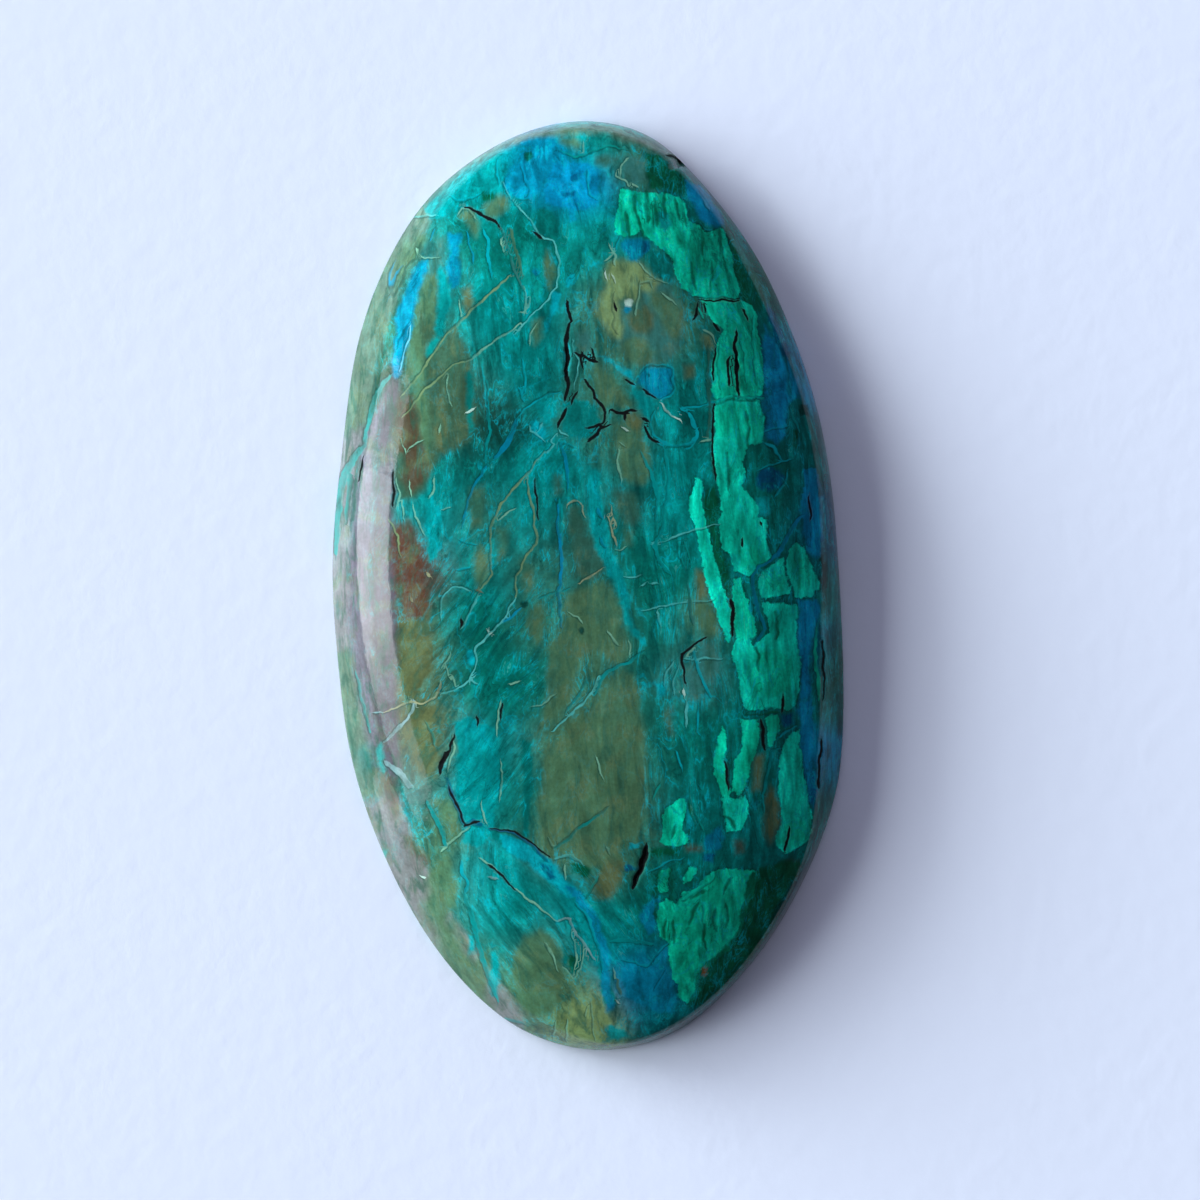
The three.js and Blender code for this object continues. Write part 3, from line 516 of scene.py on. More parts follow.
# Veins and streaks, and a painted glint and shade line: colour, width in pixels and course
VEINS_AND_PAINTED_LIGHT = (
    # Top left
    (CYAN, 3.0, "449,195 456,200 465,200 479,194"),
    (CYAN, 3.0, "498,160 497,175 500,185"),
    (SKY, 3.4, "521,166 525,176 529,186 528,198"),
    (TEAL, 2.6, "511,200 528,199"),
    (PALE_CYAN, 2.6, "503,182 510,197 515,205 527,218 534,226 539,235 544,239 552,240 556,246 558,255 "
        "560,263 558,269 559,287 551,296 548,300 535,312 524,324 515,334"),
    (CYAN, 2.6, "590,169 590,195 598,200"),
    (PALE_GREEN, 2.2, "457,215 463,207 470,210 477,218"),
    (SLATE, 3.6, "498,226 504,232 507,242 511,256 514,270 520,284 521,291"),
    (PALE_GREEN, 2.2, "501,238 504,253"),
    (OLIVE, 4.5, "511,228 515,242 520,263 523,275"),
    (SKY, 2.6, "465,233 470,245 473,262"),
    (CYAN, 4.5, "483,228 488,242 488,259 491,279"),
    (SKY, 3.0, "436,230 432,242"),
    (SKY, 3.0, "392,264 388,278 391,290"),
    (BRONZE, 3.6, "422,242 417,257 408,269 400,286 393,297"),
    (PALE_GREEN, 2.2, "415,247 416,253 421,258 441,258"),
    (NAVY, 2.2, "408,323 402,335 396,350"),
    (PALE_SKY, 2.2, "410,322 408,337 403,355 399,372"),
    (PALE_CYAN, 2.4, "415,219 428,214 438,215"),
    (PALE_GREEN, 2.2, "461,300 461,318"),
    (PALE_GREEN, 2.4, "523,285 524,300 525,312 520,312"),
    (PALE_GREEN, 2.2, "528,295 527,308"),
    # Top right
    (PALE_GREEN, 2.2, "628,158 623,165 621,175"),
    (PALE_GREEN, 2.2, "631,184 637,188"),
    (PALE_GREEN, 2.2, "618,172 617,176 625,180 629,187"),
    (PALE_GREEN, 2.2, "583,143 583,152"),
    (PALE_GREEN, 2.4, "610,245 615,255 614,265"),
    (PALE_GREEN, 2.4, "604,260 612,252"),
    (WHITE, 2.4, "605,272 606,280"),
    (WHITE, 2.4, "612,276 614,284"),
    (GOLD, 3.0, "614,292 614,308 616,318 613,326 616,334"),
    (PALE_GREEN, 2.2, "640,262 645,270 655,278 667,284"),
    (PALE_GREEN, 2.4, "640,283 637,300 636,315"),
    (PALE_GREEN, 2.2, "640,284 650,280 653,287"),
    (PALE_GREEN, 2.2, "662,293 670,300 676,306"),
    (PALE_SKY, 2.6, "704,200 709,208"),
    (DARK_GREEN, 5.0, "627,212 629,224 631,236"),
    (DARK_GREEN, 4.6, "635,196 637,208 641,220 644,236"),
    (DARK_GREEN, 4.0, "646,192 647,206 650,222"),
    (DARK_GREEN, 4.6, "655,200 657,214 658,226"),
    (DARK_GREEN, 4.0, "665,194 664,208 667,220"),
    (DARK_GREEN, 4.6, "674,198 677,210 681,222"),
    (DARK_GREEN, 3.6, "686,214 688,228"),
    (DARK_GREEN, 4.6, "703,224 704,240 702,256"),
    (DARK_GREEN, 4.0, "719,232 720,245 724,258 727,272"),
    (DARK_GREEN, 3.6, "711,262 713,278 712,290"),
    (DARK_GREEN, 3.6, "690,262 692,276 697,288"),
    (BRIGHT_MALACHITE, 2.6, "692,295 715,297 738,297"),
    (BRIGHT_MALACHITE, 2.6, "712,401 724,397 745,396 763,397"),
    (DARK_GREEN, 2.4, "714,403 726,400 745,399 762,400"),
    (CYAN, 2.8, "619,238 616,248"),
    (SEA_GREEN, 2.6, "560,150 575,156 592,152 610,146 628,148"),
    # Upper left
    (DIM_CYAN, 6.0, "392,376 384,382 379,390 375,398 370,412 366,432 364,445"),
    (DIM_CYAN, 11.0, "364,445 358,452 352,460 346,475 342,490 338,520 335,555"),
    (GOLD, 3.2, "509,277 500,285 491,294 480,302 470,312 462,320 452,329 443,338 438,345 431,357 424,366 "
        "415,378 408,388 400,396"),
    (PALE_GREEN, 2.6, "521,323 510,330 497,339 487,347 475,355 465,362"),
    (GOLD, 2.6, "465,362 455,364 445,371 436,379 427,388 418,398 410,410 403,418"),
    (PALE_GREEN, 2.0, "447,375 448,390 452,405"),
    (PALE_GREEN, 2.0, "442,425 441,434"),
    (PALE_GREEN, 2.0, "403,437 406,452"),
    (PALE_GREEN, 2.2, "410,448 425,440"),
    (WHITE, 3.0, "466,414 475,408"),
    (CYAN, 3.0, "560,390 540,398 525,408 518,418"),
    (BLUE, 8.5, "518,418 513,432 505,445 495,458"),
    (SKY, 4.0, "487,465 480,475 474,488 468,500 463,525 461,530"),
    (TURQUOISE, 4.0, "486,380 488,410 490,430 486,450 487,460"),
    (CYAN, 3.0, "519,388 524,400"),
    (PALE_GREEN, 2.2, "433,478 434,490 431,497"),
    (PALE_GREEN, 2.2, "410,482 412,497"),
    (PALE_GREEN, 2.4, "397,478 400,497 397,510"),
    (PALE_GREEN, 2.4, "402,500 405,520"),
    # Painted shadow: a dark line along the left ridge
    (BRONZE, 5.0, "356,480 355,500 353,520"),
    # Upper middle
    (CYAN, 3.0, "522,360 524,380 525,395"),
    (PALE_GREEN, 2.4, "538,325 531,335 530,345"),
    (PALE_CYAN, 2.4, "572,340 573,352 579,358 579,366 577,378 574,388"),
    (PALE_CYAN, 2.4, "560,430 562,434 570,436"),
    (PALE_CYAN, 2.6, "556,434 552,442 556,446 550,452 545,455"),
    (WHITE, 2.6, "661,404 667,411 673,417 680,423"),
    (CYAN, 3.0, "640,372 652,365 664,365 674,371 673,381 676,388 669,396 659,401"),
    (CYAN, 3.4, "656,412 652,424 655,434 663,442 676,447 688,444 698,436 696,426 690,416 682,409"),
    (PALE_CYAN, 2.4, "528,425 529,432 537,437 545,442"),
    (PALE_CYAN, 2.2, "541,422 537,432"),
    (CYAN, 3.2, "562,443 575,447"),
    (BLUE, 5.0, "562,445 566,458 569,470 567,490"),
    (PALE_GREEN, 2.4, "618,450 620,470 622,482"),
    (WHITE, 2.4, "622,427 628,431"),
    (PALE_GREEN, 2.2, "620,442 624,446"),
    # Upper right
    (BRIGHT_MALACHITE, 3.4, "698,308 703,320"),
    (BRIGHT_MALACHITE, 3.4, "706,302 708,316"),
    (BRIGHT_MALACHITE, 4.0, "741,342 746,352 746,380"),
    (BRIGHT_MALACHITE, 4.0, "721,345 719,362 720,388"),
    (BRIGHT_MALACHITE, 4.0, "753,318 755,345 757,385"),
    (CYAN, 2.6, "765,431 775,428 787,426"),
    (CYAN, 2.8, "765,442 773,446 778,455 781,462"),
    (CYAN, 2.8, "758,470 768,465 792,460"),
    (CYAN, 2.6, "786,473 783,482 775,497"),
    (TURQUOISE, 3.6, "790,405 795,420 800,430"),
    (CYAN, 2.6, "722,399 710,403 700,407 690,407 680,412 688,415 692,425 700,432 698,438 692,445 685,450"),
    (CYAN, 2.6, "655,440 662,446 675,446"),
    (PALE_GREEN, 2.2, "700,442 712,439"),
    (BRONZE, 5.0, "709,345 708,380 710,410 709,438"),
    (PALE_GREEN, 2.2, "705,330 714,337 715,345"),
    (TURQUOISE, 4.0, "665,450 668,470 670,500"),
    (TURQUOISE, 5.0, "640,450 652,470 660,500 658,520"),
    # Middle left
    (GOLD, 2.4, "390,520 396,530 398,545 400,560"),
    (PALE_GREEN, 2.2, "414,505 415,515 421,530 424,535"),
    (CYAN, 3.2, "456,570 470,568"),
    (CYAN, 3.0, "458,540 475,545"),
    (PALE_GREEN, 2.2, "442,511 450,509"),
    (GOLD, 3.2, "545,452 538,460 533,466 530,472 520,483 513,490 506,500 501,508 497,518 492,528 491,540 "
        "490,555 493,565 493,573 489,580 482,587 478,591"),
    (RUST, 4.5, "475,589 482,592"),
    (PALE_CYAN, 3.0, "478,595 474,603 470,612 465,620 461,630"),
    (GOLD, 3.0, "528,476 529,492 532,502 534,515 533,527 536,533 535,545 529,555 523,565 517,578 516,590 "
        "515,598"),
    (PALE_CYAN, 3.0, "515,598 509,608 505,618 502,624 495,630 487,638 480,645 476,652 478,660 475,668 "
        "473,672"),
    (PALE_GREEN, 2.2, "515,510 508,515 500,522"),
    (SKY, 4.0, "521,608 515,614 508,621 503,624"),
    (PALE_CYAN, 2.4, "470,590 462,586 452,586 445,592 440,600 440,610 442,620"),
    (WHITE, 2.4, "487,630 493,634"),
    (PALE_CYAN, 2.4, "473,672 470,678 477,685"),
    (PALE_CYAN, 2.6, "475,676 465,683 455,688 440,692"),
    (PALE_GREEN, 2.2, "443,665 447,672 450,680"),
    (PALE_GREEN, 2.2, "452,675 455,685"),
    (PALE_GREEN, 2.2, "450,655 445,663 440,670"),
    (PALE_GREEN, 2.4, "508,683 518,680"),
    (SAND, 4.0, "410,597 412,600"),
    (SAND, 4.6, "427,571 430,574"),
    # Middle
    (SKY, 4.5, "598,508 602,518"),
    (SKY, 4.0, "600,538 606,548"),
    (TURQUOISE, 5.0, "643,652 630,662 620,665 610,670 603,678 598,690 594,697"),
    (CYAN, 3.0, "602,681 598,690"),
    (SAND, 2.4, "603,570 592,577 580,584"),
    (TURQUOISE, 2.8, "570,588 558,592 548,596 538,599"),
    (DEEP_BLUE, 5.0, "558,500 560,540 561,560 560,575 558,590 561,605 563,628"),
    (TURQUOISE, 4.0, "561,498 563,520 562,545"),
    (SAND, 2.4, "568,505 575,500 582,505 585,515"),
    (PALE_GREEN, 2.4, "570,613 577,617 582,625"),
    (PALE_GREEN, 2.4, "608,630 614,640 618,645"),
    (PALE_GREEN, 2.2, "628,642 628,656"),
    (SAND, 2.4, "607,515 612,535 616,545"),
    (SAND, 2.2, "611,505 612,515 615,525"),
    (PALE_GREEN, 2.4, "615,549 620,550 626,545"),
    (TURQUOISE, 5.0, "668,480 669,495 666,510 664,525 661,535 655,545 658,555 662,565 670,575"),
    (PALE_CYAN, 1.9, "653,544 673,536 695,530 718,525"),
    (PALE_CYAN, 2.1, "641,608 670,605 716,600"),
    (PALE_CYAN, 1.9, "625,578 640,575"),
    (PALE_CYAN, 2.4, "641,586 645,583"),
    (PALE_CYAN, 2.4, "650,584 658,584"),
    (SEA_GREEN, 2.4, "678,540 680,555 684,566"),
    (SEA_GREEN, 2.4, "684,540 688,555 691,566"),
    (PALE_CYAN, 2.2, "657,610 660,625"),
    (PALE_CYAN, 2.4, "673,662 667,672 665,685"),
    (PALE_CYAN, 2.4, "678,668 674,680 675,695"),
    # Middle right
    (BLUE, 5.0, "780,553 770,560 760,567 754,576 753,590 756,602 760,615 764,628 759,640 756,646"),
    (CYAN, 2.6, "752,597 755,610 755,618"),
    (SLATE, 4.5, "689,585 690,600 692,615 693,625"),
    (PALE_GREEN, 3.2, "684,660 690,652 695,648"),
    (PALE_CYAN, 2.4, "684,660 700,659 722,656"),
    (CYAN, 4.6, "693,650 697,662 702,675 708,690 713,697"),
    (DEEP_BLUE, 6.0, "802,515 795,520 790,530 786,540 780,550 772,557"),
    (MALACHITE, 5.0, "817,625 816,660 818,700"),
    # Lower left
    (DIM_GREY, 4.5, "414,700 413,710 410,718 402,726 395,732 387,738 383,742"),
    (DIM_GREY, 2.8, "374,713 384,712"),
    (SAND, 3.0, "384,712 395,708 405,704 413,702 425,703 435,696 438,688 440,684"),
    (SEA_GREEN, 4.0, "427,722 432,732 434,745"),
    (DIM_GREY, 8.0, "386,762 395,770 402,776 412,788"),
    (TURQUOISE, 8.0, "425,800 432,810 438,822 443,835 446,845"),
    (PALE_GREEN, 2.6, "453,737 454,748 449,760 447,772"),
    (SLATE, 9.0, "436,780 446,784"),
    (PALE_GREEN, 3.4, "443,850 448,842 455,838 461,832 470,827"),
    (PALE_GREEN, 2.4, "483,803 484,815 487,824"),
    (NAVY, 7.0, "447,778 453,795 458,808 465,826"),
    (NAVY, 8.0, "463,824 472,822 482,826"),
    (NAVY, 4.6, "488,829 508,831 520,836 534,846 548,860"),
    (PALE_GREEN, 2.4, "502,701 499,715 497,735"),
    (PALE_GREEN, 2.2, "501,763 503,775 500,790 499,800"),
    (CYAN, 5.0, "461,858 462,870 467,880 466,895"),
    (PALE_GREEN, 3.0, "478,858 487,865 497,872"),
    (DIM_GREY, 3.4, "488,878 497,879"),
    (DIM_CYAN, 4.0, "356,672 362,700 370,735"),
    # Painted glint on a small pit
    (WHITE, 3.6, "421,876 427,880"),
    # Lower middle
    (TEAL, 5.0, "608,808 598,815 588,825 575,835 562,843 553,850"),
    (PALE_GREEN, 2.2, "598,757 600,768 602,778"),
    (PALE_GREEN, 2.4, "548,839 553,848"),
    (PALE_CYAN, 3.6, "555,858 565,856 573,858 582,865"),
    (PALE_GREEN, 2.4, "565,865 567,878"),
    (PALE_GREEN, 2.2, "606,845 610,855"),
    (TURQUOISE, 4.5, "585,680 580,695 574,705 568,712"),
    (PALE_CYAN, 2.8, "600,676 595,685 590,695 583,705 575,713 560,725 552,732"),
    (PALE_GREEN, 2.4, "530,706 540,705 555,695"),
    (WHITE, 3.6, "684,690 685,696"),
    (PALE_CYAN, 4.2, "686,700 687,712 685,728"),
    (CYAN, 3.6, "675,752 680,760 683,770"),
    (CYAN, 3.0, "698,705 699,735"),
    (CYAN, 2.6, "648,872 657,868 665,863 683,859"),
    # Lower right
    (SEA_GREEN, 3.0, "729,760 731,785"),
    (CYAN, 3.0, "797,725 788,730 780,738"),
    (TURQUOISE, 4.0, "780,748 772,752 768,770 765,785 762,795 763,810"),
    (SEA_GREEN, 2.6, "660,785 653,800"),
    (SEA_GREEN, 3.0, "693,808 698,818 703,830"),
    (CYAN, 3.0, "699,785 702,790"),
    (TEAL, 6.0, "748,805 756,825 762,848"),
    # Foot
    (TURQUOISE, 7.0, "466,895 474,925 478,950 489,975 498,1003"),
    (CYAN, 4.0, "574,902 590,922 598,945 603,972"),
    (PALE_GREEN, 3.0, "515,888 523,894 530,900 538,907 545,913 557,922"),
    (DIM_GREY, 3.4, "556,922 565,918 570,920 573,928 580,938 588,948 595,960"),
    (PALE_GREEN, 2.6, "545,942 551,952 557,970"),
    (PALE_GREEN, 2.4, "572,930 577,960 574,975"),
    (PALE_GREEN, 2.4, "583,940 585,955 582,968 575,978 562,965"),
    (PALE_GREEN, 2.4, "588,1005 586,1015"),
    (PALE_GREEN, 2.6, "592,1000 594,1040"),
    (PALE_GREEN, 2.4, "567,1020 566,1040"),
    (PALE_GREEN, 2.4, "555,1022 553,1040"),
    (SEA_GREEN, 5.0, "585,898 592,888 598,878"),
    (DARK_GREEN, 5.0, "699,903 693,912 691,924"),
    (DARK_GREEN, 4.6, "706,890 699,893 692,900"),
    (DARK_GREEN, 5.0, "671,868 673,884 672,902"),
    (DARK_GREEN, 5.0, "674,920 675,932 674,944"),
    (DARK_GREEN, 4.0, "667,918 664,930 665,938"),
    (DARK_GREEN, 4.0, "715,908 714,920 717,930"),
    (DARK_GREEN, 4.0, "726,902 728,914 726,926"),
    (DARK_GREEN, 4.0, "706,925 704,938 708,950"),
    (DARK_GREEN, 5.0, "734,878 728,884 724,892"),
    (BRIGHT_MALACHITE, 4.0, "681,902 690,895 702,885 716,876"),
    (BRIGHT_MALACHITE, 3.6, "700,900 706,910 704,924"),
    (DARK_GREEN, 4.0, "676,826 674,838"),
    (DARK_GREEN, 4.6, "722,815 732,822 735,830"),
    (DARK_GREEN, 4.0, "732,757 731,770"),
    (DARK_GREEN, 4.0, "745,712 762,714 780,713"),
    (DARK_GREEN, 4.0, "757,640 760,655 758,670"),
    (DARK_GREEN, 3.6, "776,610 778,628 776,640"),
    (DARK_GREEN, 3.6, "727,450 729,470 728,490"),
    (DARK_GREEN, 3.6, "747,410 749,430 748,446"),
    (CYAN, 3.2, "622,960 635,962 645,965 655,955 668,945"),
    (SKY, 2.8, "665,970 658,980 655,992"),
    (TURQUOISE, 6.0, "610,942 630,938 655,944"),
    (TURQUOISE, 4.0, "505,1018 525,1022"),
    (WHITE, 2.8, "616,1001 618,1003"),
    (PALE_GREEN, 2.6, "612,970 615,980"),
    (OLIVE, 4.0, "617,980 620,995"),
)

# Black slits, the fissures among them that stand open, and a few black lines of painted shade and shadow:
# width in pixels and course
CRACKS_AND_PAINTED_SHADE = (
    # Top
    (3.6, "466,207 479,212 491,219 497,222 500,228"),
    (3.0, "533,231 537,234 541,238"),
    (2.8, "667,156 677,157 691,166"),
    (2.2, "700,300 740,301"),
    (2.4, "614,300 616,310"),
    # Upper half
    (4.6, "569,301 569,312 571,322"),
    (5.0, "568,322 566,340 567,356 566,370 568,384 564,400"),
    (3.0, "577,392 570,403"),
    (4.2, "565,406 561,417 558,427"),
    (3.2, "574,352 583,356 590,360 600,362"),
    (2.6, "592,347 593,353 597,360"),
    (2.8, "583,352 581,360 584,370"),
    (3.4, "584,380 588,386 593,391 594,398 598,403 606,412 604,420 600,424"),
    (3.2, "602,423 594,426 586,428"),
    (3.2, "610,424 600,428 592,437 587,442"),
    (4.0, "611,409 618,413 624,414 630,411 636,411"),
    (3.4, "625,413 626,420"),
    (3.0, "641,419 650,421"),
    (4.0, "645,425 649,434 655,441 660,443"),
    (2.6, "624,377 634,384"),
    (2.6, "641,389 656,399"),
    (3.0, "698,303 695,315 693,322"),
    (2.8, "704,303 706,312"),
    (3.2, "742,310 747,322"),
    (3.2, "714,323 720,333"),
    (4.8, "737,330 735,345 736,360 737,375 738,395"),
    (4.0, "729,357 727,370 729,385"),
    (3.0, "715,350 713,365 712,380"),
    (2.8, "714,404 713,440 716,480"),
    (2.8, "761,522 762,526"),
    (3.2, "745,539 742,546"),
    (2.8, "809,495 811,520"),
    # Painted shadow: a black line along the left ridge
    (2.4, "363,457 361,470 358,482"),
    (3.0, "393,470 394,508"),
    # Middle
    # Painted shadow: a black line along the left of the pale vein
    (3.0, "461,618 460,628"),
    (2.2, "535,478 537,500 537,520"),
    (4.6, "732,600 734,637"),
    (3.4, "705,636 698,642 690,648 681,655 682,662 684,675 686,685"),
    # Painted shade: a black line along the ridge on the right, away from the window
    (3.0, "823,640 823,700"),
    # Lower half
    (3.0, "783,695 784,712"),
    (3.0, "725,760 728,790"),
    (3.8, "763,720 762,735 764,750"),
    # Painted shade: a black line along the ridge on the right, away from the window
    (3.4, "822,740 820,760 819,790"),
    (4.0, "789,825 787,840 786,852"),
    (2.6, "455,735 451,745 446,757"),
    (4.9, "447,752 442,762 440,774"),
    (2.8, "449,787 453,795 457,805 461,815 465,825"),
    (2.4, "463,826 472,823 480,822"),
    (2.4, "490,829 508,830 515,832 525,838 535,845 550,857"),
    (2.4, "486,865 493,870 500,876 508,883 515,890"),
    (3.4, "476,716 478,724"),
    (2.6, "504,703 501,718"),
    (7.0, "645,844 645,855 641,866 636,878 632,889"),
    # Foot
)

# Light: a window wall to the stone's left, as bottom, top, the two ends from near to far, and radiance. The
# polish mirrors only the first five; the others stand for light that reaches the paper past them. The room's
# pale walls light the stone too, more from the far side than from the near, but show only faintly in its
# polish. All lengths are in metres.
WINDOW_DISTANCE = 2.0
WINDOWS_IN_POLISH = (
    (0.17, 1.44, 0.33, 0.5, 7.0),
    (0.17, 1.44, -0.34, 0.33, 14.8),
    (0.17, 1.44, -0.48, -0.34, 11.0),
    (0.17, 1.44, -0.64, -0.48, 8.0),
    (0.17, 1.44, -1.1, -0.64, 5.0),
)
WINDOWS_BEYOND = (
    (0.22, 0.89, 0.55, 2.15, 36.0),
    (0.89, 1.44, 0.55, 2.15, 7.5),
)
WINDOW_COLOUR = "#FBFDFF"
ROOM_COLOUR = "#F0E8FF"
ROOM_DARK_BELOW = -0.2
ROOM_FAR = 1.1
ROOM_IN_POLISH = 0.05
PAPER = "#D4E1F3"
PAPER_SIZE = 3
PAPER_DROP = 0.05 * MM


def linear(hex_colour):
    """An sRGB hex colour as linear red, green and blue."""
    channels = (int(hex_colour[i : i + 2], 16) / 255 for i in (1, 3, 5))
    return tuple(c / 12.92 if c <= 0.04045 else ((c + 0.055) / 1.055) ** 2.4 for c in channels)


def opaque(hex_colour):
    """The same colour as a material's socket takes it, with an alpha of 1."""
    return (*linear(hex_colour), 1)


def pixels(text):
    """Points written as "x,y x,y"."""
    return np.array([pair.split(",") for pair in text.split()], dtype=float)


def smoothly(low, high, values):
    """Eases from 0 at low to 1 at high."""
    share = np.clip((values - low) / (high - low), 0, 1)
    return share * share * (3 - 2 * share)


# The view


def view_axes():
    """Right, up and back of someone who looks from the eye to the sighted point, head towards +Y."""
    back = (EYE - SIGHTED_POINT).normalized()
    right = Vector((0, 1, 0)).cross(back).normalized()
    return right, back.cross(right), back


def to_picture(points):
    """Where points of the stone, in millimetres, show in the picture."""
    right, up, back = (np.array(axis) for axis in view_axes())
    offset = points - np.array(EYE)
    pixels_per_slope = (EYE - SIGHTED_POINT).length / MM_PER_PIXEL
    scale = pixels_per_slope / -(offset @ back)
    return np.stack((PICTURE_MIDDLE + offset @ right * scale, PICTURE_MIDDLE - offset @ up * scale), axis=1)


def make_camera():
    right, up, back = view_axes()
    camera = bpy.data.objects.new("camera", bpy.data.cameras.new("camera"))
    bpy.context.scene.collection.objects.link(camera)
    turn = Matrix((right, up, back)).transposed()
    camera.matrix_world = Matrix.Translation(EYE * MM) @ turn.to_4x4()
    camera.data.sensor_width = SENSOR_MM
    camera.data.lens = SENSOR_MM * (EYE - SIGHTED_POINT).length / (2 * PICTURE_MIDDLE * MM_PER_PIXEL)
    camera.data.clip_start = NEAREST_SEEN
    bpy.context.scene.camera = camera


# The stone's shape


def solid_ring(level):
    """How far out the solid's corners at a level are, evened out over steps of turn round the middle."""
    corners = np.array([v.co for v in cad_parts["cabochon"].data.vertices]) / MM
    ring = corners[np.abs(corners[:, 2] - level) < LEVEL_TOLERANCE]
    turns = np.arctan2(ring[:, 1], ring[:, 0])
    order = np.argsort(turns)
    even = np.linspace(-np.pi, np.pi, RING_SAMPLES, endpoint=False)
    reach = np.interp(even, turns[order], np.hypot(ring[:, 0], ring[:, 1])[order], period=2 * np.pi)
    window = np.ones(RING_SMOOTHING) / RING_SMOOTHING
    side = RING_SMOOTHING // 2
    return np.convolve(np.concatenate((reach[-side:], reach, reach[:side])), window, "valid")


EDGE = solid_ring(BEVEL_RISE)
RIDGE = solid_ring(GIRDLE_TOP)


def reach_at(ring, turns):
    even = np.linspace(-np.pi, np.pi, RING_SAMPLES, endpoint=False)
    return np.interp(turns, even, ring, period=2 * np.pi)


def oval_at(turns):
    """The plain oval that the dome's level curves turn into towards its middle."""
    return 1 / np.hypot(np.cos(turns) / (WIDTH / 2), np.sin(turns) / (LENGTH / 2)) - OVAL_INSET


def dome_point(turns, share):
    reach = share * (oval_at(turns) * (1 - share) + reach_at(RIDGE, turns) * share)
    height = HEIGHT - (HEIGHT - GIRDLE_TOP) * share**DOME_FLATNESS
    return reach, height + np.zeros_like(turns)


def wall_point(turns, rise):
    """A point on the girdle, from 0 at the edge to 1 at the ridge."""
    reach = reach_at(EDGE, turns) * (1 - rise) + reach_at(RIDGE, turns) * rise
    return reach, np.full_like(turns, BEVEL_RISE + (GIRDLE_TOP - BEVEL_RISE) * rise)


def bend(start, corner, end, t):
    """A point on the arc that rounds a corner off."""
    return tuple(a * (1 - t) ** 2 + 2 * b * t * (1 - t) + c * t * t for a, b, c in zip(start, corner, end))


def rings_below_dome(turns):
    """The rings from the rounded ridge down the girdle and over the bevel to the back."""
    drop = ROUNDING / (GIRDLE_TOP - BEVEL_RISE)
    ridge_start = dome_point(turns, 1 - ROUNDING / (WIDTH / 2))
    corner = wall_point(turns, 1)
    ridge_end = wall_point(turns, 1 - drop)
    steps = [k / ROUNDING_STEPS for k in range(1, ROUNDING_STEPS + 1)]
    yield from (bend(ridge_start, corner, ridge_end, t) for t in steps)
    yield wall_point(turns, 0.5)
    low_wall = wall_point(turns, drop / 2)
    edge = wall_point(turns, 0)
    on_bevel = (edge[0] - BEVEL_INSET / 3, edge[1] - BEVEL_RISE / 3)
    yield low_wall
    yield bend(low_wall, edge, on_bevel, 0.5)
    yield on_bevel
    back = (edge[0] - BEVEL_INSET, np.zeros_like(turns))
    yield (back[0] + BEVEL_INSET / 4, back[1] + BEVEL_RISE / 4)
    yield (back[0] - BEVEL_INSET / 4, back[1])


def place(reach, height, turns):
    return np.stack((reach * np.cos(turns), reach * np.sin(turns), height), axis=1)


def add_disc(name, cells, surface):
    """A grid squeezed into a disc, and laid on a surface given by turn and share of the way out."""
    bpy.ops.object.select_all(action="DESELECT")
    bpy.ops.mesh.primitive_grid_add(x_subdivisions=cells[0], y_subdivisions=cells[1], size=2)
    disc = bpy.context.object
    disc.name = disc.data.name = name
    square = np.array([v.co for v in disc.data.vertices])
    x = square[:, 0] * np.sqrt(1 - square[:, 1] ** 2 / 2)
    y = square[:, 1] * np.sqrt(1 - square[:, 0] ** 2 / 2)
    turns = np.arctan2(y * LENGTH, x * WIDTH)
    reach, height = surface(turns, np.hypot(x, y))
    disc.data.vertices.foreach_set("co", (place(reach, height, turns) * MM).ravel())
    return disc


def select_rim(mesh):
    """Selects the open edges of a mesh that is in edit mode."""
    bpy.ops.mesh.select_all(action="DESELECT")
    for edge in bmesh.from_edit_mesh(mesh).edges:
        edge.select_set(edge.is_boundary)
    bmesh.update_edit_mesh(mesh)


def extrude_to(mesh, ring_of_turns):
    """Extrudes the selected rim and lays it on the next ring."""
    bpy.ops.mesh.extrude_edges_move()
    rim = [v for v in bmesh.from_edit_mesh(mesh).verts if v.select]
    turns = np.array([np.arctan2(v.co.y, v.co.x) for v in rim])
    for vertex, point in zip(rim, place(*ring_of_turns(turns), turns) * MM):
        vertex.co = point
    bmesh.update_edit_mesh(mesh)


def make_skin():
    """The dome's disc, extruded down over the girdle, and closed by the back's disc."""
    dome_share = 1 - 2 * ROUNDING / WIDTH
    dome = add_disc("stone", DOME_CELLS, lambda turns, share: dome_point(turns, share * dome_share))
    bpy.ops.object.mode_set(mode="EDIT")
    bpy.ops.mesh.select_mode(type="EDGE")
    select_rim(dome.data)
    ring_count = len(list(rings_below_dome(np.zeros(1))))
    for k in range(ring_count):
        extrude_to(dome.data, lambda turns, k=k: list(rings_below_dome(turns))[k])
    bpy.ops.object.mode_set(mode="OBJECT")

    def back_point(turns, share):
        return share * (reach_at(EDGE, turns) - 2 * BEVEL_INSET), np.zeros_like(turns)

    back = add_disc("back", BACK_CELLS, back_point)
    back.data.flip_normals()
    dome.select_set(True)
    bpy.context.view_layer.objects.active = dome
    bpy.ops.object.join()
    bpy.ops.object.mode_set(mode="EDIT")
    select_rim(dome.data)
    bpy.ops.mesh.bridge_edge_loops()
    bpy.ops.mesh.select_all(action="SELECT")
    bpy.ops.mesh.normals_make_consistent(inside=False)
    bpy.ops.object.mode_set(mode="OBJECT")
    bpy.ops.object.shade_smooth()
    return dome


# Painting


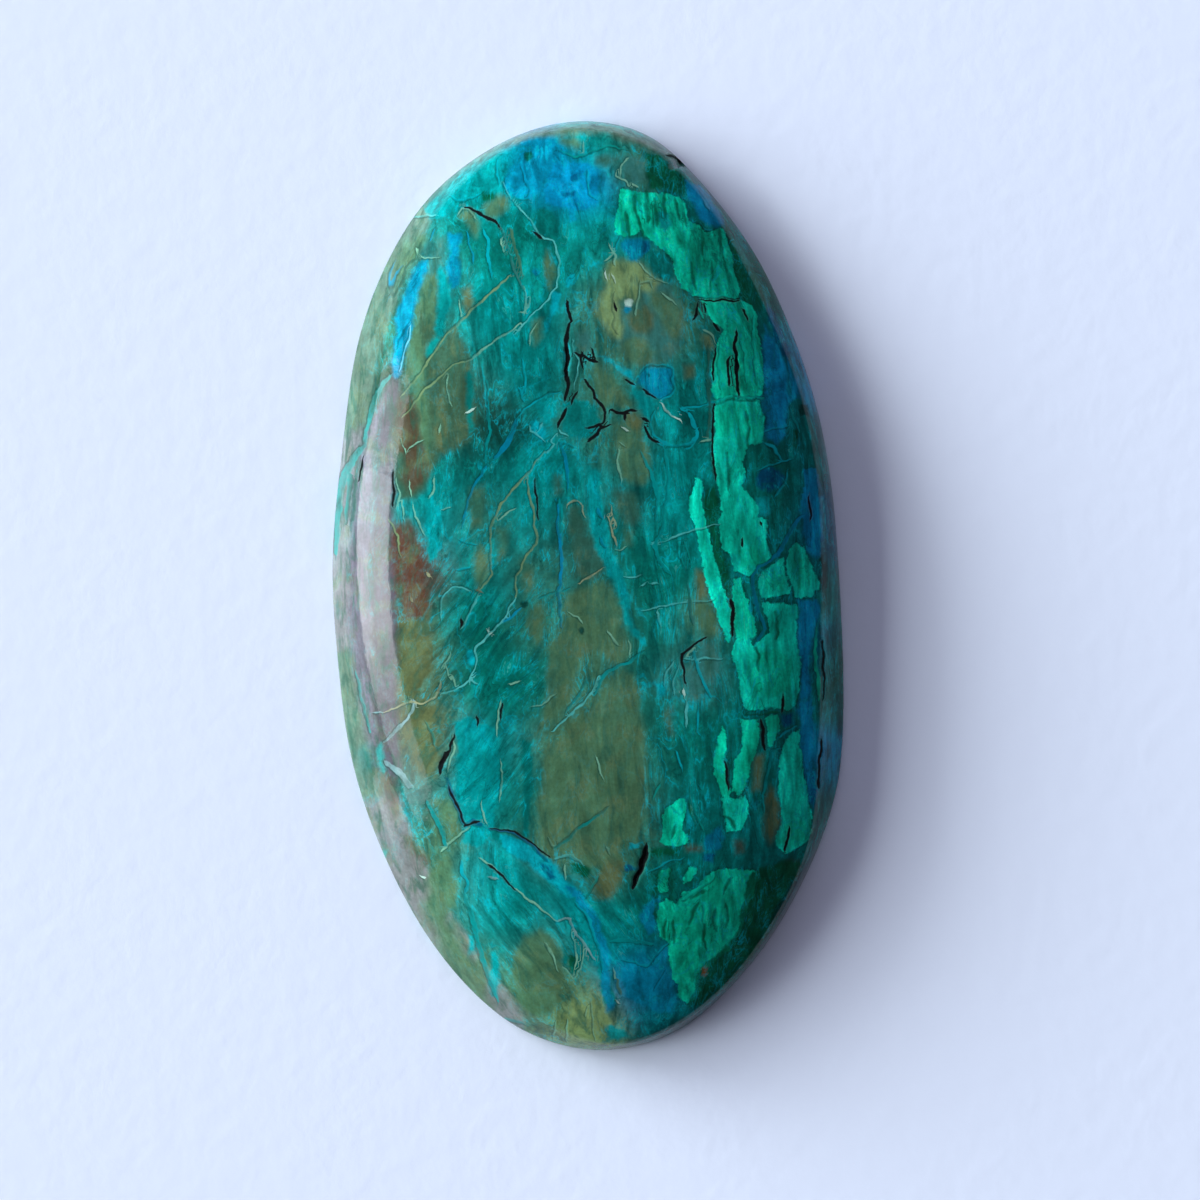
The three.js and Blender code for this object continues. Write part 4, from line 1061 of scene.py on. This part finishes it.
def wander(picture, points):
    """Shifts the points' places in the picture, so that painted edges run as irregularly as real ones."""
    noise.seed_set(WANDER_SEED)
    shift = np.zeros_like(picture)
    below = smoothly(BEVEL_RISE, 0, points[:, 2])
    layers = [(scale, reach, np.ones_like(below)) for scale, reach in WANDER]
    layers += [(scale, reach, below) for scale, reach in CHANGE_TO_BACK]
    for scale, reach, share in layers:
        spots = points / (scale * MM_PER_PIXEL)
        drift = np.array([noise.noise_vector(Vector(spot))[:2] for spot in spots])
        shift += drift * (reach * share)[:, None]
    return picture + shift + below[:, None] * np.array(LEAN_TO_BACK)


def distance_to_path(path, places):
    """Each place's distance to a path, how far along the path that is, and on which side of it: 1 or -1."""
    nearest = np.full(len(places), np.inf)
    along = np.zeros(len(places))
    side = np.ones(len(places))
    for k in range(len(path) - 1):
        stretch = path[k + 1] - path[k]
        apart = places - path[k]
        share = np.clip(apart @ stretch / (stretch @ stretch), 0, 1)
        distance = np.linalg.norm(apart - share[:, None] * stretch, axis=1)
        closer = distance < nearest
        nearest[closer] = distance[closer]
        along[closer] = ((k + share) / (len(path) - 1))[closer]
        on_left = stretch[0] * apart[:, 1] < stretch[1] * apart[:, 0]
        side[closer] = np.where(on_left, -1, 1)[closer]
    return nearest, along, side


def inside(outline, places):
    """Whether each place is inside a closed outline."""
    x, y = places.T
    crossings = np.zeros(len(places), dtype=int)
    for (x0, y0), (x1, y1) in zip(outline[:-1], outline[1:]):
        if y0 != y1:
            crossings += ((y0 <= y) != (y1 <= y)) & (x < x0 + (y - y0) * (x1 - x0) / (y1 - y0))
    return crossings % 2 == 1


def zone_depth(outline, places):
    """How deep inside an outline each place lies, negative for those outside."""
    closed = np.vstack((outline, outline[:1]))
    distance = distance_to_path(closed, places)[0]
    return np.where(inside(closed, places), distance, -distance)


def near(shape, places):
    """The places close enough to a shape to be touched by it."""
    low, high = shape.min(axis=0) - FAR, shape.max(axis=0) + FAR
    return np.flatnonzero(((places > low) & (places < high)).all(axis=1))


def paint_areas(areas, places):
    """Colour and depth, in millimetres, of the areas of one layer. A later one covers an earlier one."""
    depth = np.full(len(places), -FAR)
    colour = np.tile(linear(DEEP_TEAL), (len(places), 1))
    for hex_colour, text in areas:
        outline = pixels(text)
        touched = near(outline, places)
        new = zone_depth(outline, places[touched])
        wins = (new > 0) | (new > depth[touched])
        colour[touched[wins]] = linear(hex_colour)
        depth[touched] = np.maximum(depth[touched], new)
    return colour, depth * MM_PER_PIXEL


def paint_lines(lines, places, reach):
    """Colour, distance across and half width, both in millimetres, of the line nearest to each place.

    Two skin points on either side of a line keep distances of opposite sign, so the line stays whole between
    them, however thin it is. Beyond a line's reach the distance jumps to one that shows nothing.
    """
    across = np.full(len(places), ENDLESS)
    half = np.ones(len(places))
    colour = np.tile(linear(DEEP_TEAL), (len(places), 1))
    for hex_colour, width, text in lines:
        course = pixels(text)
        touched = near(course, places)
        distance, along, side = distance_to_path(course, places[touched])
        thickness = width / 2 * (LINE_TIP + (1 - LINE_TIP) * np.sqrt(4 * along * (1 - along)))
        thickness[(along <= 0) | (along >= 1)] = LINE_END
        wins = distance - thickness < np.abs(across[touched]) - half[touched]
        won = touched[wins]
        across[won] = (distance * side)[wins]
        half[won] = thickness[wins]
        colour[won] = linear(hex_colour)
    far = np.abs(across) > half + reach
    across[far] = np.copysign(ENDLESS, across[far])
    return colour, across * MM_PER_PIXEL, half * MM_PER_PIXEL


def paint_slants(places):
    """How the fibres lean at each place, from 1 for right to -1 for left."""
    lean = np.zeros(len(places))
    for strength, x, y, reach in SLANTS:
        lean += strength * np.exp(-(((places - (x, y)) / reach) ** 2).sum(axis=1))
    return np.clip(lean, -1, 1)


def paint_ground(places):
    """The soft ground: the washes' colours with the host rock and painted sheen over them, and their share.
    """
    total = np.full(len(places), LEAST_WEIGHT)
    colour = np.tile(linear(DEEP_TEAL), (len(places), 1)) * LEAST_WEIGHT
    for hex_colour, x, y, reach in WASHES:
        weight = np.exp(-(((places - (x, y)) / reach) ** 2).sum(axis=1))
        colour += weight[:, None] * np.array(linear(hex_colour))
        total += weight
    colour /= total[:, None]
    rock_and_sheen = np.zeros(len(places))
    for hex_colour, text in ZONES + PATCHES:
        if hex_colour in ROCK_AND_SHEEN_COLOURS:
            outline = pixels(text)
            touched = near(outline, places)
            depth = zone_depth(outline, places[touched])
            share = ROCK_AND_SHEEN_STRENGTH * smoothly(-ROCK_AND_SHEEN_SOFTNESS, ROCK_AND_SHEEN_SOFTNESS, depth)
            colour[touched] += share[:, None] * (np.array(linear(hex_colour)) - colour[touched])
            rock_and_sheen[touched] = np.maximum(rock_and_sheen[touched], share)
    return colour, rock_and_sheen


def store_colour(mesh, name, colour):
    attribute = mesh.color_attributes.new(name, "FLOAT_COLOR", "POINT")
    attribute.data.foreach_set("color", np.column_stack((colour, np.ones(len(colour)))).ravel())


def store_number(mesh, name, numbers):
    mesh.attributes.new(name, "FLOAT", "POINT").data.foreach_set("value", numbers)


def chip_dent(points):
    """How deep the chip in the ridge is at each point."""
    from_chip = to_picture(points) - CHIP_PIXEL
    turn = Matrix.Rotation(-CHIP_TURN, 2)
    own = from_chip @ np.array(turn).T * MM_PER_PIXEL / CHIP_REACH
    return CHIP_DEPTH * np.clip(1 - (own**2).sum(axis=1), 0, 1)


def open_fissures(mesh, points, across, half):
    """Lowers the skin along the wider cracks and pushes it in at the chip."""
    stands_open = (points[:, 2] > GIRDLE_TOP) & (half > OPEN_CRACK / 2 * MM_PER_PIXEL)
    dent = np.where(stands_open, np.clip((half - np.abs(across)) * CRACK_STEEPNESS, 0, CRACK_DEPTH), 0)
    sunk = points.copy()
    sunk[:, 2] -= dent
    chip = chip_dent(points) * (points[:, 2] > BEVEL_RISE)
    sunk[:, :2] *= 1 - (chip / np.hypot(points[:, 0], points[:, 1]))[:, None]
    sunk[:, 2] -= chip
    mesh.vertices.foreach_set("co", (sunk * MM).ravel())


def paint_stone(stone):
    mesh = stone.data
    points = np.array([v.co for v in mesh.vertices]) / MM
    places = wander(to_picture(points), points)
    ground, rock_and_sheen = paint_ground(places)
    store_colour(mesh, "ground", ground)
    store_number(mesh, "rock_and_sheen", rock_and_sheen)
    store_number(mesh, "lean", paint_slants(places))
    painted_apart = ROCK_AND_SHEEN_COLOURS + MALACHITES
    for name, areas in (
        ("zone", [zone for zone in ZONES if zone[0] not in painted_apart]),
        ("block", [area for area in ZONES + PATCHES if area[0] in MALACHITES]),
        ("patch", [patch for patch in PATCHES if patch[0] not in painted_apart]),
    ):
        colour, depth = paint_areas(areas, places)
        store_colour(mesh, name, colour)
        store_number(mesh, name + "_depth", depth)
    reach = np.where(points[:, 2] < GIRDLE_TOP, *LINE_REACH)
    for name, lines in (
        ("vein_and_painted_light", [(colour, width * VEIN_WIDTH, course) for colour, width, course in VEINS_AND_PAINTED_LIGHT]),
        ("crack_and_painted_shade", [(BLACK, width * CRACK_WIDTH, course) for width, course in CRACKS_AND_PAINTED_SHADE]),
    ):
        colour, across, half = paint_lines(lines, places, reach)
        store_colour(mesh, name, colour)
        store_number(mesh, name + "_across", across)
        store_number(mesh, name + "_half", half)
    open_fissures(mesh, points, across, half)
    mesh.update()


# Materials


def add(tree, kind, inputs=None, **settings):
    """Adds a node with its settings, and its inputs as values or as links."""
    node = tree.nodes.new(kind)
    for name, value in settings.items():
        setattr(node, name, value)
    for socket, value in (inputs or {}).items():
        if isinstance(value, bpy.types.NodeSocket):
            tree.links.new(value, node.inputs[socket])
        else:
            node.inputs[socket].default_value = value
    return node


def new_material(name):
    material = bpy.data.materials.new(name)
    material.use_nodes = True
    material.node_tree.nodes.clear()
    return material, material.node_tree


def polished_chrysocolla():
    """Chrysocolla with malachite in its host rock, cut and polished: glossy, with a faint orange peel."""
    material, tree = new_material("polished_chrysocolla")
    place = add(tree, "ShaderNodeTexCoord").outputs["Object"]
    in_mm = add(tree, "ShaderNodeMapping", {"Vector": place, "Scale": (1 / MM,) * 3}).outputs[0]

    # Edges of zones fray by up to a sixth of a millimetre, those of malachite by half that, and lines hardly
    fray, fine = (
        add(
            tree,
            "ShaderNodeTexNoise",
            {"Vector": in_mm, "Scale": scale, "Detail": detail, "Roughness": roughness},
        ).outputs["Fac"]
        for scale, detail, roughness in ((1.6, 5.0, 0.62), (5.0, 3.0, 0.6))
    )
    zone_shift, block_shift, line_shift = (
        add(
            tree,
            "ShaderNodeMapRange",
            {"Value": source, "From Min": 0.2, "From Max": 0.8, "To Min": -reach, "To Max": reach},
        ).outputs[0]
        for source, reach in ((fray, 0.16), (fine, 0.09), (fine, 0.02))
    )

    # Fibres lie along the stone or slant to either side; finer streaks and broader flow share their run
    lean = add(tree, "ShaderNodeAttribute", attribute_name="lean").outputs["Fac"]
    to_right = add(tree, "ShaderNodeMapRange", {"Value": lean}).outputs[0]
    to_left = add(tree, "ShaderNodeMapRange", {"Value": lean, "From Max": -1.0}).outputs[0]
    runs = [
        add(
            tree,
            "ShaderNodeMapping",
            {"Vector": in_mm, "Rotation": (0, 0, turn), "Scale": FIBRE_STRETCH},
            vector_type="TEXTURE",
        ).outputs[0]
        for turn in FIBRE_TURNS
    ]
    blends = []
    for scale, detail, distortion in ((2.2, 4.5, 0.6), (0.85, 3.5, 1.2)):
        upright, rightward, leftward = (
            add(
                tree,
                "ShaderNodeTexNoise",
                {
                    "Vector": run,
                    "Scale": scale,
                    "Detail": detail,
                    "Roughness": 0.56,
                    "Distortion": distortion,
                },
            ).outputs["Fac"]
            for run in runs
        )
        blend = add(tree, "ShaderNodeMix", {0: to_right, 2: upright, 3: rightward}).outputs[0]
        blends.append(add(tree, "ShaderNodeMix", {0: to_left, 2: blend, 3: leftward}).outputs[0])
    fibres, flow = blends
    cloud_noise = add(
        tree,
        "ShaderNodeTexNoise",
        {"Vector": in_mm, "Scale": 0.9, "Detail": 4.0, "Roughness": 0.6},
    )
    clouds = cloud_noise.outputs["Fac"]
    grain = add(tree, "ShaderNodeTexNoise", {"Vector": in_mm, "Scale": 7.0, "Detail": 2.0}).outputs["Fac"]

    # The soft ground streaks towards deep teal and turquoise, host rock and painted sheen towards brown and
    # moss
    rock_and_sheen = add(tree, "ShaderNodeAttribute", attribute_name="rock_and_sheen").outputs["Fac"]
    copper = add(tree, "ShaderNodeMapRange", {"Value": rock_and_sheen, "To Min": 1.0, "To Max": 0.1}).outputs[0]
    colour = add(tree, "ShaderNodeAttribute", attribute_name="ground").outputs["Color"]
    for source, low, high, tint, strength, where in (
        (fibres, 0.53, 0.72, TURQUOISE, 0.36, copper),
        (fibres, 0.5, 0.3, DARK_TEAL, 0.7, copper),
        (clouds, 0.55, 0.75, SEA_GREEN, 0.3, copper),
        (clouds, 0.5, 0.66, UMBER, 0.55, rock_and_sheen),
        (fibres, 0.5, 0.36, MOSS, 0.6, rock_and_sheen),
    ):
        share = add(
            tree,
            "ShaderNodeMapRange",
            {"Value": source, "From Min": low, "From Max": high, "To Max": strength},
        ).outputs[0]
        share = add(tree, "ShaderNodeMath", {0: share, 1: where}, operation="MULTIPLY").outputs[0]
        colour = add(
            tree,
            "ShaderNodeMix",
            {0: share, 6: colour, 7: opaque(tint)},
            data_type="RGBA",
        ).outputs[2]

    # Zones with soft edges, malachite with crisper ones, and patches over both
    broken, uneven = (
        add(
            tree,
            "ShaderNodeMapRange",
            {"Value": clouds, "From Min": 0.38, "From Max": 0.6, "To Min": low, "To Max": high},
        ).outputs[0]
        for low, high in ((0.0, 0.6), (0.85, 0.25))
    )
    for name, shift, low, high, strength in (
        ("zone", zone_shift, -0.1, 0.16, 0.95),
        ("block", block_shift, -0.035, 0.05, 1.0),
        ("patch", zone_shift, -0.05, 0.1, 0.85),
    ):
        tint = add(tree, "ShaderNodeAttribute", attribute_name=name).outputs["Color"]
        depth = add(tree, "ShaderNodeAttribute", attribute_name=name + "_depth").outputs["Fac"]
        frayed = add(tree, "ShaderNodeMath", {0: depth, 1: shift}, operation="ADD").outputs[0]
        if name == "block":
            # Malachite lies in a broken dark gap; it is lighter at its rim, and streaked along the stone
            gap = add(
                tree,
                "ShaderNodeMapRange",
                {"Value": frayed, "From Min": -0.16, "From Max": -0.04, "To Max": broken},
            ).outputs[0]
            colour = add(
                tree,
                "ShaderNodeMix",
                {0: gap, 6: colour, 7: opaque(NIGHT)},
                data_type="RGBA",
            ).outputs[2]
            rim_tone = add(
                tree,
                "ShaderNodeMapRange",
                {"Value": frayed, "From Min": 0.05, "From Max": 0.6, "To Min": 1.12, "To Max": 0.92},
            ).outputs[0]
            streaks = add(
                tree,
                "ShaderNodeTexNoise",
                {"Vector": runs[0], "Scale": 2.6, "Detail": 3.0},
            ).outputs["Fac"]
            streak_tone = add(
                tree,
                "ShaderNodeMapRange",
                {"Value": streaks, "From Min": 0.36, "From Max": 0.64, "To Min": 0.66, "To Max": 1.3},
            ).outputs[0]
            tone = add(tree, "ShaderNodeMath", {0: rim_tone, 1: streak_tone}, operation="MULTIPLY").outputs[0]
            tint = add(
                tree,
                "ShaderNodeMix",
                {0: 1.0, 6: tint, 7: tone},
                data_type="RGBA",
                blend_type="MULTIPLY",
            ).outputs[2]
        share = add(
            tree,
            "ShaderNodeMapRange",
            {"Value": frayed, "From Min": low, "From Max": high, "To Max": strength},
            interpolation_type="SMOOTHSTEP",
        ).outputs[0]
        colour = add(tree, "ShaderNodeMix", {0: share, 6: colour, 7: tint}, data_type="RGBA").outputs[2]

    # Thin strands follow the flow and the fibres, in clouds
    cloudy = add(
        tree,
        "ShaderNodeMapRange",
        {"Value": clouds, "From Min": 0.4, "From Max": 0.58},
    ).outputs[0]
    cloudy = add(tree, "ShaderNodeMath", {0: cloudy, 1: copper}, operation="MULTIPLY").outputs[0]
    for course, level, tint, thickness, strength in (
        (flow, 0.5, CYAN, 0.016, 0.75),
        (flow, 0.42, NIGHT, 0.02, 0.5),
        (flow, 0.57, CYAN, 0.012, 0.6),
        (flow, 0.55, PALE_CYAN, 0.004, 0.28),
        (flow, 0.63, TURQUOISE, 0.02, 0.6),
        (flow, 0.37, NIGHT, 0.012, 0.5),
        (fibres, 0.56, CYAN, 0.01, 0.5),
        (fibres, 0.44, NIGHT, 0.01, 0.5),
    ):
        off = add(tree, "ShaderNodeMath", {0: course, 1: level}, operation="SUBTRACT").outputs[0]
        off = add(tree, "ShaderNodeMath", {0: off}, operation="ABSOLUTE").outputs[0]
        line = add(
            tree,
            "ShaderNodeMapRange",
            {"Value": off, "From Max": thickness, "To Min": strength, "To Max": 0.0},
        ).outputs[0]
        share = add(tree, "ShaderNodeMath", {0: line, 1: cloudy}, operation="MULTIPLY").outputs[0]
        colour = add(
            tree,
            "ShaderNodeMix",
            {0: share, 6: colour, 7: opaque(tint)},
            data_type="RGBA",
        ).outputs[2]

    # Threads of turquoise net the stone in places
    bent = add(
        tree,
        "ShaderNodeVectorMath",
        {0: runs[0], 1: cloud_noise.outputs["Color"]},
        operation="ADD",
    ).outputs[0]
    for scale, tint, thickness, low, high in (
        (0.75, CYAN, 0.03, 0.5, 0.62),
        (1.7, SEA_GREEN, 0.045, 0.48, 0.62),
        (1.1, DARK_TEAL, 0.045, 0.5, 0.6),
    ):
        net = add(
            tree,
            "ShaderNodeTexVoronoi",
            {"Vector": bent, "Scale": scale},
            feature="DISTANCE_TO_EDGE",
        ).outputs["Distance"]
        line = add(
            tree,
            "ShaderNodeMapRange",
            {"Value": net, "From Min": thickness, "To Min": 0.0, "From Max": 0.0, "To Max": 0.5},
        ).outputs[0]
        region = add(
            tree,
            "ShaderNodeTexNoise",
            {"Vector": in_mm, "Scale": 0.35 * scale, "Detail": 2.0},
        ).outputs["Fac"]
        shown = add(
            tree,
            "ShaderNodeMapRange",
            {"Value": region, "From Min": low, "From Max": high},
        ).outputs[0]
        share = add(tree, "ShaderNodeMath", {0: line, 1: shown}, operation="MULTIPLY").outputs[0]
        share = add(tree, "ShaderNodeMath", {0: share, 1: copper}, operation="MULTIPLY").outputs[0]
        colour = add(
            tree,
            "ShaderNodeMix",
            {0: share, 6: colour, 7: opaque(tint)},
            data_type="RGBA",
        ).outputs[2]

    # Lighter and darker mottling over all of it, fainter on the rock and painted sheen
    lively = add(tree, "ShaderNodeMapRange", {"Value": rock_and_sheen, "To Min": 1.0, "To Max": 0.7}).outputs[0]
    for source, reach in ((fibres, 0.42), (flow, 0.45), (clouds, 0.3), (grain, 0.16)):
        tone = add(
            tree,
            "ShaderNodeMapRange",
            {"Value": source, "From Min": 0.25, "From Max": 0.75, "To Min": 1 - reach, "To Max": 1 + reach},
        ).outputs[0]
        colour = add(
            tree,
            "ShaderNodeMix",
            {0: lively, 6: colour, 7: tone},
            data_type="RGBA",
            blend_type="MULTIPLY",
        ).outputs[2]

    # Veins, each with a painted shadow along one side, then the black cracks and painted shade lines
    for name, offset, low, high, tint, strength in (
        # Painted shadow: a dark line beside each vein, on one side
        ("vein_and_painted_light", 0.06, 0.04, -0.02, opaque(NIGHT), 0.5),
        ("vein_and_painted_light", 0.0, 0.03, -0.02, None, uneven),
        ("crack_and_painted_shade", 0.0, 0.03, -0.02, None, 1.0),
    ):
        across = add(tree, "ShaderNodeAttribute", attribute_name=name + "_across").outputs["Fac"]
        half = add(tree, "ShaderNodeAttribute", attribute_name=name + "_half").outputs["Fac"]
        off = add(tree, "ShaderNodeMath", {0: across, 1: offset}, operation="SUBTRACT").outputs[0]
        off = add(tree, "ShaderNodeMath", {0: off}, operation="ABSOLUTE").outputs[0]
        edge = add(tree, "ShaderNodeMath", {0: off, 1: half}, operation="SUBTRACT").outputs[0]
        edge = add(tree, "ShaderNodeMath", {0: edge, 1: line_shift}, operation="ADD").outputs[0]
        share = add(
            tree,
            "ShaderNodeMapRange",
            {"Value": edge, "From Min": low, "From Max": high, "To Max": strength},
            interpolation_type="SMOOTHSTEP",
        ).outputs[0]
        own = tint or add(tree, "ShaderNodeAttribute", attribute_name=name).outputs["Color"]
        colour = add(tree, "ShaderNodeMix", {0: share, 6: colour, 7: own}, data_type="RGBA").outputs[2]

    # The dome is polished, the back only ground, and the black cracks and painted shade lines are rough
    height = add(tree, "ShaderNodeSeparateXYZ", {0: in_mm}).outputs["Z"]
    roughness = add(
        tree,
        "ShaderNodeMapRange",
        {"Value": height, "From Min": 0.05, "From Max": 0.4, "To Min": 0.5, "To Max": 0.08},
    ).outputs[0]
    in_black_line = add(
        tree,
        "ShaderNodeMapRange",
        {"Value": edge, "From Max": 0.1, "To Min": 0.9, "To Max": 0.0},
    ).outputs[0]
    roughness = add(tree, "ShaderNodeMath", {0: roughness, 1: in_black_line}, operation="MAXIMUM").outputs[0]
    peel = add(tree, "ShaderNodeTexNoise", {"Vector": in_mm, "Scale": 1.5, "Detail": 3.0})
    bump = add(
        tree,
        "ShaderNodeBump",
        {"Height": peel.outputs["Fac"], "Strength": 1.0, "Distance": 0.008 * MM},
    ).outputs[0]
    stone = add(
        tree,
        "ShaderNodeBsdfPrincipled",
        {
            "Base Color": colour,
            "Roughness": roughness,
            "Normal": bump,
            "IOR": 1.5,
            "Specular IOR Level": 0.22,
        },
    )
    add(tree, "ShaderNodeOutputMaterial", {"Surface": stone.outputs[0]})
    return material


def plain_paper():
    """Smooth drawing paper: pale, matte, with a faint tooth."""
    material, tree = new_material("plain_paper")
    place = add(tree, "ShaderNodeTexCoord").outputs["Object"]
    tooth = add(tree, "ShaderNodeTexNoise", {"Vector": place, "Scale": 900.0, "Detail": 4.0})
    bump = add(
        tree,
        "ShaderNodeBump",
        {"Height": tooth.outputs["Fac"], "Strength": 1.0, "Distance": 0.02 * MM},
    ).outputs[0]
    paper = add(
        tree,
        "ShaderNodeBsdfPrincipled",
        {"Base Color": opaque(PAPER), "Roughness": 0.85, "Normal": bump, "Specular IOR Level": 0.2},
    )
    add(tree, "ShaderNodeOutputMaterial", {"Surface": paper.outputs[0]})
    return material


# Surroundings


def make_paper():
    bpy.ops.object.select_all(action="DESELECT")
    bpy.ops.mesh.primitive_plane_add(size=PAPER_SIZE, location=(0, 0, -PAPER_DROP))
    paper = bpy.context.object
    paper.name = "paper"
    bpy.ops.object.transform_apply(location=True)
    paper.data.materials.append(plain_paper())


def add_window(bottom, top, near_end, far_end, radiance):
    """A bright upright rectangle on the left, facing the stone."""
    light = bpy.data.lights.new("window", "AREA")
    light.shape = "RECTANGLE"
    light.size = far_end - near_end
    light.size_y = top - bottom
    light.energy = radiance * np.pi * light.size * light.size_y
    light.color = linear(WINDOW_COLOUR)
    lamp = bpy.data.objects.new("window", light)
    lamp.location = (-WINDOW_DISTANCE, (near_end + far_end) / 2, (bottom + top) / 2)
    lamp.rotation_euler = Vector((1, 0, 0)).to_track_quat("-Z", "Y").to_euler()
    bpy.context.scene.collection.objects.link(lamp)
    return lamp


def make_light():
    for window in WINDOWS_IN_POLISH:
        add_window(*window)
    for window in WINDOWS_BEYOND:
        add_window(*window).visible_glossy = False
    world = bpy.data.worlds.new("room")
    world.use_nodes = True
    tree = world.node_tree
    tree.nodes.clear()
    direction = add(tree, "ShaderNodeTexCoord").outputs["Generated"]
    far_side = add(tree, "ShaderNodeSeparateXYZ", {0: direction}).outputs["Y"]
    room = add(
        tree,
        "ShaderNodeMapRange",
        {"Value": far_side, "From Min": ROOM_DARK_BELOW, "To Max": ROOM_FAR},
    ).outputs[0]
    in_polish = add(tree, "ShaderNodeLightPath").outputs["Is Glossy Ray"]
    brightness = add(tree, "ShaderNodeMix", {0: in_polish, 2: room, 3: ROOM_IN_POLISH}).outputs[0]
    walls = add(tree, "ShaderNodeBackground", {"Color": opaque(ROOM_COLOUR), "Strength": brightness})
    add(tree, "ShaderNodeOutputWorld", {"Surface": walls.outputs[0]})
    bpy.context.scene.world = world
    bpy.context.scene.view_settings.view_transform = "Standard"


make_camera()
make_light()
make_paper()
stone = make_skin()
paint_stone(stone)
stone.data.materials.append(polished_chrysocolla())
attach(stone, "root")
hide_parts("cabochon")
